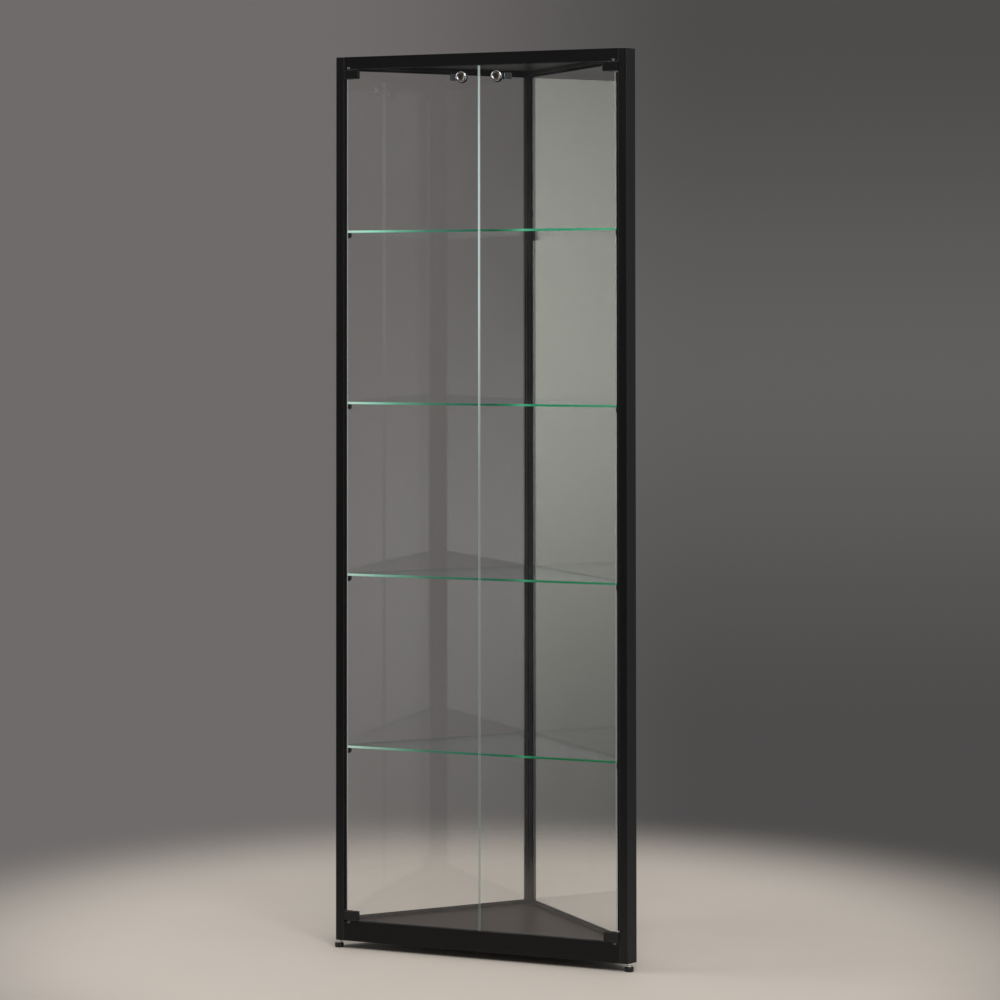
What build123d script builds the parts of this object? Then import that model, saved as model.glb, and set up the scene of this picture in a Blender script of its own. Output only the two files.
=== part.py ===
from build123d import *
import os
from math import sqrt

os.makedirs("parts", exist_ok=True)

# Corner display cabinet: black aluminium frame, two frameless glass doors across
# the front, two glazed sides that meet at the rear post, four glass shelves.
# Millimetres, +Z up. The drawing frame used below has the front face of the frame
# on y = 0, the cabinet's middle on x = 0 and the floor on z = 0; every piece is
# moved forward by ORIGIN_Y when it is written, so the origin is the middle of the
# footprint at floor level, and the doors face -Y.

# ---------------------------------------------------------------- overall sizes
ROOT2 = sqrt(2.0)
LEG = 492.0             # outer length of each glazed side, wall corner to side edge
CORNER_CUT = 39.9       # the sharp tips of the plan are cut off this far along both faces
SECTION = 21.0          # depth of every frame section
HEIGHT = 1984.0         # floor to top of frame
FRAME_LOW = 18.0        # underside of the frame above the floor
BASE_RAIL = 44.0        # height of the bottom rails
HEAD_RAIL = 27.0        # height of the top rails
WALL = 2.2              # wall thickness of the hollow sections

EDGE_X = LEG / ROOT2                    # outermost edge of the side post
EDGE_Y = CORNER_CUT / ROOT2
REAR_Y = (LEG + CORNER_CUT) / ROOT2     # wall corner
PROUD = 3.0                             # hinge blocks and lock rings stand proud
ORIGIN_Y = (REAR_Y - PROUD) / 2
ARRIS_X = REAR_Y - CORNER_CUT           # front arris of the side post
JAMB_X = 317.5                          # inner face of the side post
BASE_TOP = FRAME_LOW + BASE_RAIL
HEAD_LOW = HEIGHT - HEAD_RAIL

# ---------------------------------------------------------------- side glazing
SIDE_START = ARRIS_X - JAMB_X           # side rails start here, measured from the outermost edge
SIDE_END = LEG - SECTION
GROOVE_NEAR = 8.0       # glazing groove, measured in from the outer face
GROOVE_FAR = 13.0
GROOVE_DEEP = 6.0       # how far the groove goes into the posts
GROOVE_RAIL = 7.0       # how far it goes into the rails
PANE = 4.0              # side glass thickness
GASKET = 0.5            # rubber on each face of the side glass
LIP = 0.7               # rubber standing proud of the groove

# ---------------------------------------------------------------- panels
BASE_LEDGE = 17.0       # inner lip of the bottom rail, then the ledge begins
BASE_BOARD = 8.0
BASE_SURFACE = 55.0     # floor of the lowest bay
HEAD_LEDGE = 15.0
HEAD_BOARD = 12.0
HEAD_UNDER = 1969.0     # ceiling of the highest bay
BOARD_GAP = 0.5
BOARD_SIDE_X = 314.75   # boards are cut off square at the side posts
BOARD_REAR_Y = 345.9    # and at the rear post

# ---------------------------------------------------------------- front top rail
NOSE_DEEP = 11.0        # solid nose the lock cams catch behind
NOSE_TOP = 1966.0
SIDE_LIP_LOW = 1961.0   # lower edge of the inner lip of the side top rails

# ---------------------------------------------------------------- rail chambers
HEAD_ROOM_FAR = 12.8
HEAD_ROOM_LOW = 1968.2
BASE_ROOM_TOP = 44.8

# ---------------------------------------------------------------- posts
BORE = 5.25             # radius of the round bore through each post
BORE_X = 334.5          # its place in the side posts
BORE_Y = 15.5
REAR_BORE = 7.6         # and in the rear post, from both outer faces
REAR_FLAT_Y = 349.7     # flat on the inner corner of the rear post
SLOT_Y = 16.5           # middle of the shelf slot in the side posts
SLOT_NECK = 1.8         # half width of the slot mouth
SLOT_NECK_DEEP = 1.2
SLOT_HEAD = 2.8         # half width behind the mouth
SLOT_DEEP = 3.25

# ---------------------------------------------------------------- running fit
RUN = 0.05              # clearance on radius between moving pieces

# ---------------------------------------------------------------- doors
DOOR_GLASS = 5.0
DOOR_MEET = 1.0         # half of the gap between the doors
DOOR_EDGE = 310.5       # hinge side edge of the glass
DOOR_LOW = 63.0
DOOR_TOP = 1956.2
PIVOT_X = 306.75
PIVOT_Y = 3.0
HINGE_IN = 282.75       # inner end of the hinge block
HINGE_CORE = 297.05     # solid part of the block begins
HINGE_STOP = 317.4      # flat end that meets the post if a door is pushed inwards
HINGE_ROUND = 10.4      # round of the outer end about the pivot
HINGE_FRONT = -PROUD
HINGE_BACK = 8.0
HINGE_TALL = 20.2
HINGE_UP_TOP = 1955.0
HINGE_DOWN_LOW = 64.0
NOTCH_GAP = 0.3
PIN = 2.0
PIN_COLLAR = 4.75       # shoulder of the pin, let into the rail
COLLAR_TALL = 4.3
COLLAR_ROOM = 4.5
PIN_REACH = 9.0
PIN_SOCKET = 9.3
SEAL_IN = 311.85
SEAL_FRONT = 3.0
SEAL_BACK = 8.0
SEAL_LOW = 87.0
SEAL_TOP = 1932.0

# ---------------------------------------------------------------- locks
LOCK_X = 41.0
LOCK_Z = 1932.0
BEZEL = 12.0
BEZEL_FRONT = -PROUD
BARREL = 9.75
BARREL_BACK = 12.4
GLASS_HOLE = 10.0
PLUG = 6.0
PLUG_HEAD = 7.0
PLUG_FRONT = -2.6
PLUG_STEP = -0.9
PLUG_BACK = 12.9
TAIL = 7.0
CAM_FRONT = 13.0
CAM_BACK = 15.5
CAM_HALF = 8.0
CAM_REACH = 31.0
CAM_CHAMFER = 2.0
LOCK_NUT = 13.5
LOCK_NUT_BACK = 10.0
LOCK_NUT_FLATS = 24.0

# ---------------------------------------------------------------- shelves
SHELF = 5.0
SHELF_PITCH = 382.6
SHELF_ZERO = 63.3       # the pitch counts from this height
SHELF_COUNT = 4
SHELF_FRONT = 12.0
SHELF_SIDE = 14.5       # gap of the shelf edge from the outer face of the side
SHELF_SIDE_X = 314.55
SHELF_REAR_Y = 346.9
BEARER_LONG = 10.75
BEARER_HALF = 4.0
BEARER_TALL = 12.0
BEARER_FOOT = 10.0

# ---------------------------------------------------------------- levelling feet
PAD = 10.0
PAD_TALL = 10.5
STEM = 4.0
STEM_TOP = 52.0
STEM_DISC = 5.5
STEM_DISC_LOW = 3.0
STEM_DISC_TOP = 5.0
HEX = 13.0              # across flats of the collar and the lock nut
COLLAR_LOW = 10.6
COLLAR_TOP = 12.6
NUT_LOW = 14.7
FLANGE_LOW = 17.2
FLANGE = 7.0
BUSH_TOP = 38.0
CAP_LONG = 12.0

# ---------------------------------------------------------------- corner plugs
PLUG_LONG = 30.0
PLUG_GAP = 0.05
DOWEL = 2.45
DOWEL_HOLE = 2.5
DOWEL_LONG = 5.2
SCREW_IN = 12.0         # screw position from the end of a rail
SCREW = 1.5
SCREW_HEAD = 2.8
SCREW_CONE = 1.3
SCREW_LONG = 12.0
KEY = 2.0               # across flats of the hexagon sockets


# ================================================================ helpers
def block(x0, x1, y0, y1, z0, z1):
    """Box between limits."""
    return Pos((x0 + x1) / 2, (y0 + y1) / 2, (z0 + z1) / 2) * Box(x1 - x0, y1 - y0, z1 - z0)


def upright(x, y, radius, z0, z1):
    """Round bar along z."""
    return Pos(x, y, (z0 + z1) / 2) * Cylinder(radius, z1 - z0)


def along_y(x, z, radius, y0, y1):
    """Round bar along y."""
    return Pos(x, (y0 + y1) / 2, z) * Rot(90, 0, 0) * Cylinder(radius, y1 - y0)


def along_x(y, z, radius, x0, x1):
    """Round bar along x."""
    return Pos((x0 + x1) / 2, y, z) * Rot(0, 90, 0) * Cylinder(radius, x1 - x0)


def prism(points, z0, z1):
    """Upright prism on a plan outline."""
    face = make_face(Polyline(*points, close=True))
    return Pos(0, 0, z0) * extrude(face, z1 - z0)


def bar(points, x0, x1):
    """Bar along x with a section given as (y, z) points."""
    face = make_face(Polyline(*[(0, y, z) for y, z in points], close=True))
    return Pos(x0, 0, 0) * extrude(face, x1 - x0, dir=(1, 0, 0))


def hexagon(flats, z0, z1):
    """Upright hexagonal bar on the z axis."""
    face = RegularPolygon(flats / 2, 6, major_radius=False)
    return Pos(0, 0, z0) * extrude(face, z1 - z0)


def right_side(shape):
    """Moves a piece from side coordinates (along, in from outer face) to its place."""
    return Pos(EDGE_X, EDGE_Y, 0) * Rot(0, 0, 135) * shape


def other_hand(shape):
    """Mirror image for the left half."""
    return mirror(shape, about=Plane.YZ)


def side_point(along, inward):
    """Plan position of a point given in side coordinates."""
    return (EDGE_X - (along + inward) / ROOT2, EDGE_Y + (along - inward) / ROOT2)


def save(name, *pieces):
    """Writes one sub-part; several pieces stay separate solids in one file."""
    solids = [Pos(0, -ORIGIN_Y, 0) * s for piece in pieces for s in piece.solids()]
    shape = solids[0] if len(solids) == 1 else Compound(solids)
    export_step(shape, "parts/" + name + ".step")


def plan_board(front_y, side_in, half_x, rear_y):
    """Five- or six-sided outline shared by the boards and the shelves."""
    reach = REAR_Y - side_in * ROOT2
    half = [(half_x, front_y), (half_x, reach - half_x), (reach - rear_y, rear_y)]
    return half + [(-x, y) for x, y in reversed(half)]


# ================================================================ small hardware
def screw_local():
    """Countersunk frame screw, head on z = 0, pointing up."""
    head = Pos(0, 0, SCREW_CONE / 2) * Cone(SCREW_HEAD, SCREW, SCREW_CONE)
    shank = upright(0, 0, SCREW, SCREW_CONE, SCREW_LONG)
    return head + shank - hexagon(KEY, 0, 1.0)


def screw_hole_local():
    """Countersunk clearance hole for a frame screw through one wall."""
    cone = Pos(0, 0, SCREW_CONE / 2) * Cone(SCREW_HEAD, SCREW, SCREW_CONE)
    return cone + upright(0, 0, SCREW, SCREW_CONE, WALL + PLUG_GAP)


def corner_plug(half_y, half_z):
    """Plug in the end of a rail; x runs from the rail end into the rail."""
    body = block(PLUG_GAP, PLUG_LONG, -half_y, half_y, -half_z, half_z)
    body = body + along_x(0, 0, DOWEL, -DOWEL_LONG, PLUG_GAP)
    return body - upright(SCREW_IN, 0, SCREW, -half_z, half_z)


def grub_along_x(x0, x1):
    """Socket set screw on the x axis, socket at the far end."""
    body = along_x(0, 0, SCREW, x0, x1)
    socket = Rot(0, 90, 0) * hexagon(SCREW, x1 - 2.0, x1)
    return body - socket


# section centres of the plugs: inward position and height
BASE_PLUG = (SECTION / 2, (FRAME_LOW + WALL + BASE_ROOM_TOP) / 2)
HEAD_PLUG = ((WALL + HEAD_ROOM_FAR) / 2, (HEAD_ROOM_LOW + HEIGHT - WALL) / 2)
BASE_HALF = (SECTION / 2 - WALL - PLUG_GAP, (BASE_ROOM_TOP - FRAME_LOW - WALL) / 2 - PLUG_GAP)
HEAD_HALF = ((HEAD_ROOM_FAR - WALL) / 2 - PLUG_GAP, (HEIGHT - WALL - HEAD_ROOM_LOW) / 2 - PLUG_GAP)


def front_ends(shape, inward, z):
    """A piece at both ends of a front rail, its x axis pointing into the rail."""
    right = Pos(JAMB_X, inward, z) * Rot(0, 0, 180) * shape
    left = Pos(-JAMB_X, inward, z) * shape
    return [left, right]


def side_ends(shape, inward, z):
    """The same at both ends of a side rail, for the left and the right side."""
    near = right_side(Pos(SIDE_START, inward, z) * shape)
    far = right_side(Pos(SIDE_END, inward, z) * Rot(0, 0, 180) * shape)
    return [near, far, other_hand(near), other_hand(far)]


def base_corners(shape):
    return front_ends(shape, *BASE_PLUG) + side_ends(shape, *BASE_PLUG)


def head_corners(shape):
    return front_ends(shape, *HEAD_PLUG) + side_ends(shape, *HEAD_PLUG)


def base_rail_holes():
    """Screw holes in the underside of the bottom rails."""
    return base_corners(Pos(SCREW_IN, 0, FRAME_LOW - BASE_PLUG[1]) * screw_hole_local())


def head_rail_holes():
    """Screw holes in the top of the top rails."""
    tool = Pos(SCREW_IN, 0, HEIGHT - HEAD_PLUG[1]) * Rot(180, 0, 0) * screw_hole_local()
    return head_corners(tool)


def frame_screws():
    low = Pos(SCREW_IN, 0, FRAME_LOW - BASE_PLUG[1]) * screw_local()
    high = Pos(SCREW_IN, 0, HEIGHT - HEAD_PLUG[1]) * Rot(180, 0, 0) * screw_local()
    return base_corners(low) + head_corners(high)


# ================================================================ posts
def slot_tool():
    """Shelf slot; x points out of the post, the slot face is x = 0."""
    mouth = block(-SLOT_NECK_DEEP, 1.0, -SLOT_NECK, SLOT_NECK, 0, HEIGHT)
    room = block(-SLOT_DEEP, -SLOT_NECK_DEEP, -SLOT_HEAD, SLOT_HEAD, 0, HEIGHT)
    return mouth + room


def side_groove(u0, u1, v0, v1):
    return right_side(block(u0, u1, v0, v1, 0, HEIGHT))


def side_post():
    """Six-sided post at the right end of the front, its end face square to the corner."""
    outline = [
        (JAMB_X, 0),
        (ARRIS_X, 0),
        (EDGE_X, EDGE_Y),
        side_point(SIDE_START, 0),
        side_point(SIDE_START, SECTION),
        (JAMB_X, SECTION),
    ]
    post = prism(outline, FRAME_LOW, HEIGHT)
    post = post - side_groove(SIDE_START - GROOVE_DEEP, SIDE_START, GROOVE_NEAR, GROOVE_FAR)
    post = post - Pos(JAMB_X, SLOT_Y, 0) * Rot(0, 0, 180) * slot_tool()
    post = post - upright(BORE_X, BORE_Y, BORE, 0, HEIGHT)
    holes = base_corners(along_x(0, 0, DOWEL_HOLE, -DOWEL_LONG - PLUG_GAP, 0))
    holes = holes + head_corners(along_x(0, 0, DOWEL_HOLE, -DOWEL_LONG - PLUG_GAP, 0))
    return post - holes


def rear_post():
    """Square hollow post in the wall corner."""
    post = right_side(block(SIDE_END, LEG, 0, SECTION, FRAME_LOW, HEIGHT))
    groove = side_groove(SIDE_END, SIDE_END + GROOVE_DEEP, GROOVE_NEAR, GROOVE_FAR)
    post = post - groove - other_hand(groove)
    post = post - block(-SECTION, SECTION, BOARD_REAR_Y, REAR_FLAT_Y, 0, HEIGHT)
    post = post - Pos(0, REAR_FLAT_Y, 0) * Rot(0, 0, -90) * slot_tool()
    x, y = side_point(LEG - REAR_BORE, REAR_BORE)
    post = post - upright(x, y, BORE, 0, HEIGHT)
    holes = side_ends(along_x(0, 0, DOWEL_HOLE, -DOWEL_LONG - PLUG_GAP, 0), *HEAD_PLUG)
    return post - holes


# ================================================================ rails
def pin_sockets():
    """Bores in the front rails for the door pins."""
    tools = []
    for x in (-PIVOT_X, PIVOT_X):
        tools.append(upright(x, PIVOT_Y, PIN + RUN, BASE_TOP - PIN_SOCKET, BASE_TOP))
        tools.append(upright(x, PIVOT_Y, PIN + RUN, HEAD_LOW, HEAD_LOW + PIN_SOCKET))
        tools.append(upright(x, PIVOT_Y, PIN_COLLAR + RUN, BASE_TOP - COLLAR_ROOM, BASE_TOP))
        tools.append(upright(x, PIVOT_Y, PIN_COLLAR + RUN, HEAD_LOW, HEAD_LOW + COLLAR_ROOM))
    return tools


def base_front_rail():
    rail = block(-JAMB_X, JAMB_X, 0, SECTION, FRAME_LOW, BASE_TOP)
    ledge = BASE_SURFACE - BASE_BOARD
    rail = rail - block(-JAMB_X, JAMB_X, BASE_LEDGE, SECTION, ledge, BASE_TOP)
    room = block(-JAMB_X, JAMB_X, WALL, SECTION - WALL, FRAME_LOW + WALL, BASE_ROOM_TOP)
    return rail - room - pin_sockets() - base_rail_holes()


def base_side_rail():
    rail = block(SIDE_START, SIDE_END, 0, SECTION, FRAME_LOW, BASE_TOP)
    ledge = BASE_SURFACE - BASE_BOARD
    rail = rail - block(SIDE_START, SIDE_END, BASE_LEDGE, SECTION, ledge, BASE_TOP)
    floor = BASE_TOP - GROOVE_RAIL
    rail = rail - block(SIDE_START, SIDE_END, GROOVE_NEAR, GROOVE_FAR, floor, BASE_TOP)
    room = block(SIDE_START, SIDE_END, WALL, SECTION - WALL, FRAME_LOW + WALL, BASE_ROOM_TOP)
    return right_side(rail - room) - base_rail_holes()


def head_front_rail():
    """Top rail over the doors; the space behind its nose is left free for the cams."""
    section = [
        (0, HEAD_LOW),
        (NOSE_DEEP, HEAD_LOW),
        (NOSE_DEEP, NOSE_TOP),
        (SECTION, NOSE_TOP),
        (SECTION, HEAD_UNDER),
        (HEAD_LEDGE, HEAD_UNDER),
        (HEAD_LEDGE, HEIGHT),
        (0, HEIGHT),
    ]
    rail = bar(section, -JAMB_X, JAMB_X)
    room = block(-JAMB_X, JAMB_X, WALL, HEAD_ROOM_FAR, HEAD_ROOM_LOW, HEIGHT - WALL)
    return rail - room - pin_sockets() - head_rail_holes()


def head_side_rail():
    """Top rail over a side pane, with a ledge for the top board."""
    roof = HEAD_LOW + GROOVE_RAIL
    section = [
        (0, HEAD_LOW),
        (GROOVE_NEAR, HEAD_LOW),
        (GROOVE_NEAR, roof),
        (GROOVE_FAR, roof),
        (GROOVE_FAR, SIDE_LIP_LOW),
        (SECTION, SIDE_LIP_LOW),
        (SECTION, HEAD_UNDER),
        (HEAD_LEDGE, HEAD_UNDER),
        (HEAD_LEDGE, HEIGHT),
        (0, HEIGHT),
    ]
    rail = bar(section, SIDE_START, SIDE_END)
    room = block(SIDE_START, SIDE_END, WALL, HEAD_ROOM_FAR, HEAD_ROOM_LOW, HEIGHT - WALL)
    return right_side(rail - room) - head_rail_holes()


# ================================================================ boards and glazing
def base_board():
    outline = plan_board(
        BASE_LEDGE + BOARD_GAP, BASE_LEDGE + BOARD_GAP, BOARD_SIDE_X, BOARD_REAR_Y
    )
    return prism(outline, BASE_SURFACE - BASE_BOARD, BASE_SURFACE)


def head_board():
    outline = plan_board(
        HEAD_LEDGE + BOARD_GAP, HEAD_LEDGE + BOARD_GAP, BOARD_SIDE_X, BOARD_REAR_Y
    )
    return prism(outline, HEAD_UNDER, HEAD_UNDER + HEAD_BOARD)


def glazing_limits():
    """Outer limits of the glazing groove: along and up."""
    return (
        SIDE_START - GROOVE_DEEP,
        SIDE_END + GROOVE_DEEP,
        BASE_TOP - GROOVE_RAIL,
        HEAD_LOW + GROOVE_RAIL,
    )


def pane_local():
    u0, u1, z0, z1 = glazing_limits()
    near = GROOVE_NEAR + GASKET
    return block(u0 + GASKET, u1 - GASKET, near, near + PANE, z0 + GASKET, z1 - GASKET)


def side_pane():
    return right_side(pane_local())


def side_gasket():
    """Rubber channel all round a side pane."""
    u0, u1, z0, z1 = glazing_limits()
    ring = block(u0, u1, GROOVE_NEAR, GROOVE_FAR, z0, z1)
    sight = block(
        SIDE_START + LIP, SIDE_END - LIP, 0, SECTION, BASE_TOP + LIP, HEAD_LOW - LIP
    )
    return right_side(ring - sight - pane_local())


def door_seal():
    """Rubber strip on the post that closes the gap beside a door."""
    return block(SEAL_IN, JAMB_X, SEAL_FRONT, SEAL_BACK, SEAL_LOW, SEAL_TOP)


# ================================================================ doors
def door_glass():
    """Right door: notched at the hinge corners, drilled for the lock."""
    pane = block(DOOR_MEET, DOOR_EDGE, 0, DOOR_GLASS, DOOR_LOW, DOOR_TOP)
    notch_in = HINGE_CORE - NOTCH_GAP
    upper = HINGE_UP_TOP - HINGE_TALL - NOTCH_GAP
    lower = HINGE_DOWN_LOW + HINGE_TALL + NOTCH_GAP
    pane = pane - block(notch_in, DOOR_EDGE, 0, DOOR_GLASS, upper, DOOR_TOP)
    pane = pane - block(notch_in, DOOR_EDGE, 0, DOOR_GLASS, DOOR_LOW, lower)
    return pane - along_y(LOCK_X, LOCK_Z, GLASS_HOLE, 0, DOOR_GLASS)


def hinge_block(z0):
    """Clamp block with a slot for the glass and a through bore for the pin."""
    z1 = z0 + HINGE_TALL
    inner = block(HINGE_IN, PIVOT_X, HINGE_FRONT, HINGE_BACK, z0, z1)
    stop = block(PIVOT_X, HINGE_STOP, PIVOT_Y, HINGE_BACK, z0, z1)
    nose = upright(PIVOT_X, PIVOT_Y, HINGE_ROUND, z0, z1)
    nose = nose & block(PIVOT_X, HINGE_STOP, HINGE_FRONT, PIVOT_Y, z0, z1)
    body = inner + stop + nose
    body = body - block(HINGE_IN, HINGE_CORE, 0, DOOR_GLASS, z0, z1)
    body = body - upright(PIVOT_X, PIVOT_Y, PIN, z0, z1)
    for z in hinge_screw_heights(z0):
        body = body - along_y(HINGE_SCREW_X, z, SCREW, DOOR_GLASS, HINGE_BACK)
    return body


HINGE_SCREW_X = 289.25
HINGE_SCREW_RISE = 5.0


def hinge_screw_heights(z0):
    middle = z0 + HINGE_TALL / 2
    return (middle - HINGE_SCREW_RISE, middle + HINGE_SCREW_RISE)


def door_hinges():
    return [hinge_block(HINGE_DOWN_LOW), hinge_block(HINGE_UP_TOP - HINGE_TALL)]


def door_pin(face_z, up):
    """Shouldered pivot pin; face_z is the block face it stands on."""
    rail = HEAD_LOW - HINGE_UP_TOP
    shoulder = rail + COLLAR_ROOM - COLLAR_TALL - RUN
    ends = [-(HINGE_TALL - 1.0), rail + PIN_REACH]
    low, high = sorted(face_z + up * e for e in ends)
    base, top = sorted((face_z + up * shoulder, face_z + up * (shoulder + COLLAR_TALL)))
    pin = upright(PIVOT_X, PIVOT_Y, PIN, low, high)
    return pin + upright(PIVOT_X, PIVOT_Y, PIN_COLLAR, base, top)


def door_pins():
    return [door_pin(HINGE_DOWN_LOW, -1), door_pin(HINGE_UP_TOP, 1)]


def hinge_screws():
    """Set screws that press the glass in the hinge slots."""
    screws = []
    for z0 in (HINGE_DOWN_LOW, HINGE_UP_TOP - HINGE_TALL):
        for z in hinge_screw_heights(z0):
            grub = grub_along_x(0, HINGE_BACK - DOOR_GLASS - 0.2)
            screws.append(Pos(HINGE_SCREW_X, DOOR_GLASS, z) * Rot(0, 0, 90) * grub)
    return screws


# ================================================================ locks
def lock_body():
    """Chrome face ring and threaded barrel of the right lock."""
    bezel = along_y(LOCK_X, LOCK_Z, BEZEL, BEZEL_FRONT, 0)
    rim = bezel.edges().filter_by(GeomType.CIRCLE).sort_by(Axis.Y)[0]
    body = fillet(rim, 1.2) + along_y(LOCK_X, LOCK_Z, BARREL, 0, BARREL_BACK)
    body = body - along_y(LOCK_X, LOCK_Z, PLUG_HEAD + RUN, BEZEL_FRONT, PLUG_STEP + RUN)
    return body - along_y(LOCK_X, LOCK_Z, PLUG + RUN, BEZEL_FRONT, BARREL_BACK)


def lock_nut():
    nut = along_y(LOCK_X, LOCK_Z, LOCK_NUT, DOOR_GLASS, LOCK_NUT_BACK)
    flats = block(
        LOCK_X - LOCK_NUT_FLATS / 2,
        LOCK_X + LOCK_NUT_FLATS / 2,
        DOOR_GLASS,
        LOCK_NUT_BACK,
        LOCK_Z - LOCK_NUT,
        LOCK_Z + LOCK_NUT,
    )
    return (nut & flats) - along_y(LOCK_X, LOCK_Z, BARREL, DOOR_GLASS, LOCK_NUT_BACK)


def tail_square(y0, y1):
    half = TAIL / 2
    return block(LOCK_X - half, LOCK_X + half, y0, y1, LOCK_Z - half, LOCK_Z + half)


CAM_SCREW = 2.0
CAM_SCREW_TIP = 8.0
CAM_SCREW_HEAD = 4.0
CAM_SCREW_BACK = 17.7
KEYWAY_HALF = (0.8, 3.6)
KEYWAY_DEEP = 7.0


def lock_plug():
    """Core that turns with the key; square tail carries the cam."""
    plug = along_y(LOCK_X, LOCK_Z, PLUG_HEAD, PLUG_FRONT, PLUG_STEP)
    plug = plug + along_y(LOCK_X, LOCK_Z, PLUG, PLUG_STEP, PLUG_BACK)
    plug = plug + tail_square(PLUG_BACK, CAM_BACK)
    keyway = block(
        LOCK_X - KEYWAY_HALF[0],
        LOCK_X + KEYWAY_HALF[0],
        PLUG_FRONT,
        PLUG_FRONT + KEYWAY_DEEP,
        LOCK_Z - KEYWAY_HALF[1],
        LOCK_Z + KEYWAY_HALF[1],
    )
    return plug - keyway - along_y(LOCK_X, LOCK_Z, CAM_SCREW, CAM_SCREW_TIP, CAM_BACK)


def lock_cam():
    """Flat cam, pointing to the hinge side when unlocked."""
    tip = CAM_REACH
    cut = CAM_REACH - CAM_CHAMFER
    low = CAM_HALF - CAM_CHAMFER
    outline = [(0, -CAM_HALF), (cut, -CAM_HALF), (tip, -low), (tip, low), (cut, CAM_HALF), (0, CAM_HALF)]
    blade = prism(outline, -CAM_BACK, -CAM_FRONT) + upright(0, 0, CAM_HALF, -CAM_BACK, -CAM_FRONT)
    cam = Pos(LOCK_X, 0, LOCK_Z) * Rot(90, 0, 0) * blade
    return cam - tail_square(CAM_FRONT, CAM_BACK)


def cam_screw():
    head = along_y(LOCK_X, LOCK_Z, CAM_SCREW_HEAD, CAM_BACK, CAM_SCREW_BACK)
    shank = along_y(LOCK_X, LOCK_Z, CAM_SCREW, CAM_SCREW_TIP + 0.2, CAM_BACK)
    socket = Rot(-90, 0, 0) * hexagon(KEY, CAM_SCREW_BACK - 1.4, CAM_SCREW_BACK)
    return head + shank - Pos(LOCK_X, 0, LOCK_Z) * socket


# ================================================================ shelves
def shelf_glass(under):
    outline = plan_board(SHELF_FRONT, SHELF_SIDE, SHELF_SIDE_X, SHELF_REAR_Y)
    return prism(outline, under, under + SHELF)


def bearer_local():
    """Shelf bearer; x points out of the post, top face on z = 0."""
    arm = block(0, BEARER_LONG, -BEARER_HALF, BEARER_HALF, -BEARER_TALL, 0)
    toe = arm.edges().filter_by(Axis.Y).sort_by(Axis.Z)[:2].sort_by(Axis.X)[-1]
    arm = chamfer(toe, 3.0)
    low = -(BEARER_TALL + BEARER_FOOT) / 2
    high = low + BEARER_FOOT
    neck = block(-SLOT_NECK_DEEP - RUN, 0, RUN - SLOT_NECK, SLOT_NECK - RUN, low, high)
    foot = block(
        RUN - SLOT_DEEP, -SLOT_NECK_DEEP - RUN, RUN - SLOT_HEAD, SLOT_HEAD - RUN, low, high
    )
    hole = along_x(0, -BEARER_TALL / 2, SCREW, -SLOT_DEEP, BEARER_LONG)
    return arm + neck + foot - hole


def at_posts(shape, z):
    """One copy at each post, its x axis pointing out of the shelf slot."""
    return [
        Pos(-JAMB_X, SLOT_Y, z) * shape,
        Pos(JAMB_X, SLOT_Y, z) * Rot(0, 0, 180) * shape,
        Pos(0, REAR_FLAT_Y, z) * Rot(0, 0, -90) * shape,
    ]


def bearer_screws(under):
    grub = grub_along_x(RUN - SLOT_DEEP, BEARER_LONG - 1.5)
    return at_posts(Pos(0, 0, -BEARER_TALL / 2) * grub, under)


# ================================================================ feet
def foot_places():
    return {
        "left": (-BORE_X, BORE_Y),
        "right": (BORE_X, BORE_Y),
        "rear": side_point(LEG - REAR_BORE, REAR_BORE),
    }


def foot_pad():
    body = upright(0, 0, PAD, 0, PAD_TALL)
    rims = body.edges().filter_by(GeomType.CIRCLE).sort_by(Axis.Z)
    body = fillet(rims[1], 2.4)
    body = chamfer(body.edges().filter_by(GeomType.CIRCLE).sort_by(Axis.Z)[0], 0.6)
    body = body - upright(0, 0, STEM_DISC + RUN, STEM_DISC_LOW - RUN, STEM_DISC_TOP + RUN)
    return body - upright(0, 0, STEM + RUN, STEM_DISC_TOP, PAD_TALL)


def foot_stem():
    stem = upright(0, 0, STEM, STEM_DISC_TOP, STEM_TOP)
    stem = stem + upright(0, 0, STEM_DISC, STEM_DISC_LOW, STEM_DISC_TOP)
    return stem + hexagon(HEX, COLLAR_LOW, COLLAR_TOP)


def foot_nut():
    return hexagon(HEX, NUT_LOW, FLANGE_LOW) - upright(0, 0, STEM + RUN, NUT_LOW, FLANGE_LOW)


def foot_bush():
    """Threaded bush in the bottom of a post."""
    bush = upright(0, 0, FLANGE, FLANGE_LOW, FRAME_LOW) + upright(0, 0, BORE, FRAME_LOW, BUSH_TOP)
    return bush - upright(0, 0, STEM + RUN, FLANGE_LOW, BUSH_TOP)


def post_cap():
    return upright(0, 0, BORE, HEIGHT - CAP_LONG, HEIGHT)


def at_feet(shape):
    return [Pos(x, y, 0) * shape for x, y in foot_places().values()]


# ================================================================ writing
def write_frame():
    post = side_post()
    save("post_right", post)
    save("post_left", other_hand(post))
    save("post_rear", rear_post())
    save("rail_bottom_front", base_front_rail())
    save("rail_top_front", head_front_rail())
    for name, rail in (("rail_bottom", base_side_rail()), ("rail_top", head_side_rail())):
        save(name + "_right", rail)
        save(name + "_left", other_hand(rail))
    save("base_panel", base_board())
    save("top_panel", head_board())
    for name, piece in (("pane", side_pane()), ("gasket", side_gasket()), ("seal", door_seal())):
        save(name + "_right", piece)
        save(name + "_left", other_hand(piece))
    save("corner_plugs_bottom", *base_corners(corner_plug(*BASE_HALF)))
    save("corner_plugs_top", *head_corners(corner_plug(*HEAD_HALF)))
    save("frame_screws", *frame_screws())
    save("post_caps", *at_feet(post_cap()))
    save("foot_bushes", *at_feet(foot_bush()))
    save("foot_locknuts", *at_feet(foot_nut()))


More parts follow.
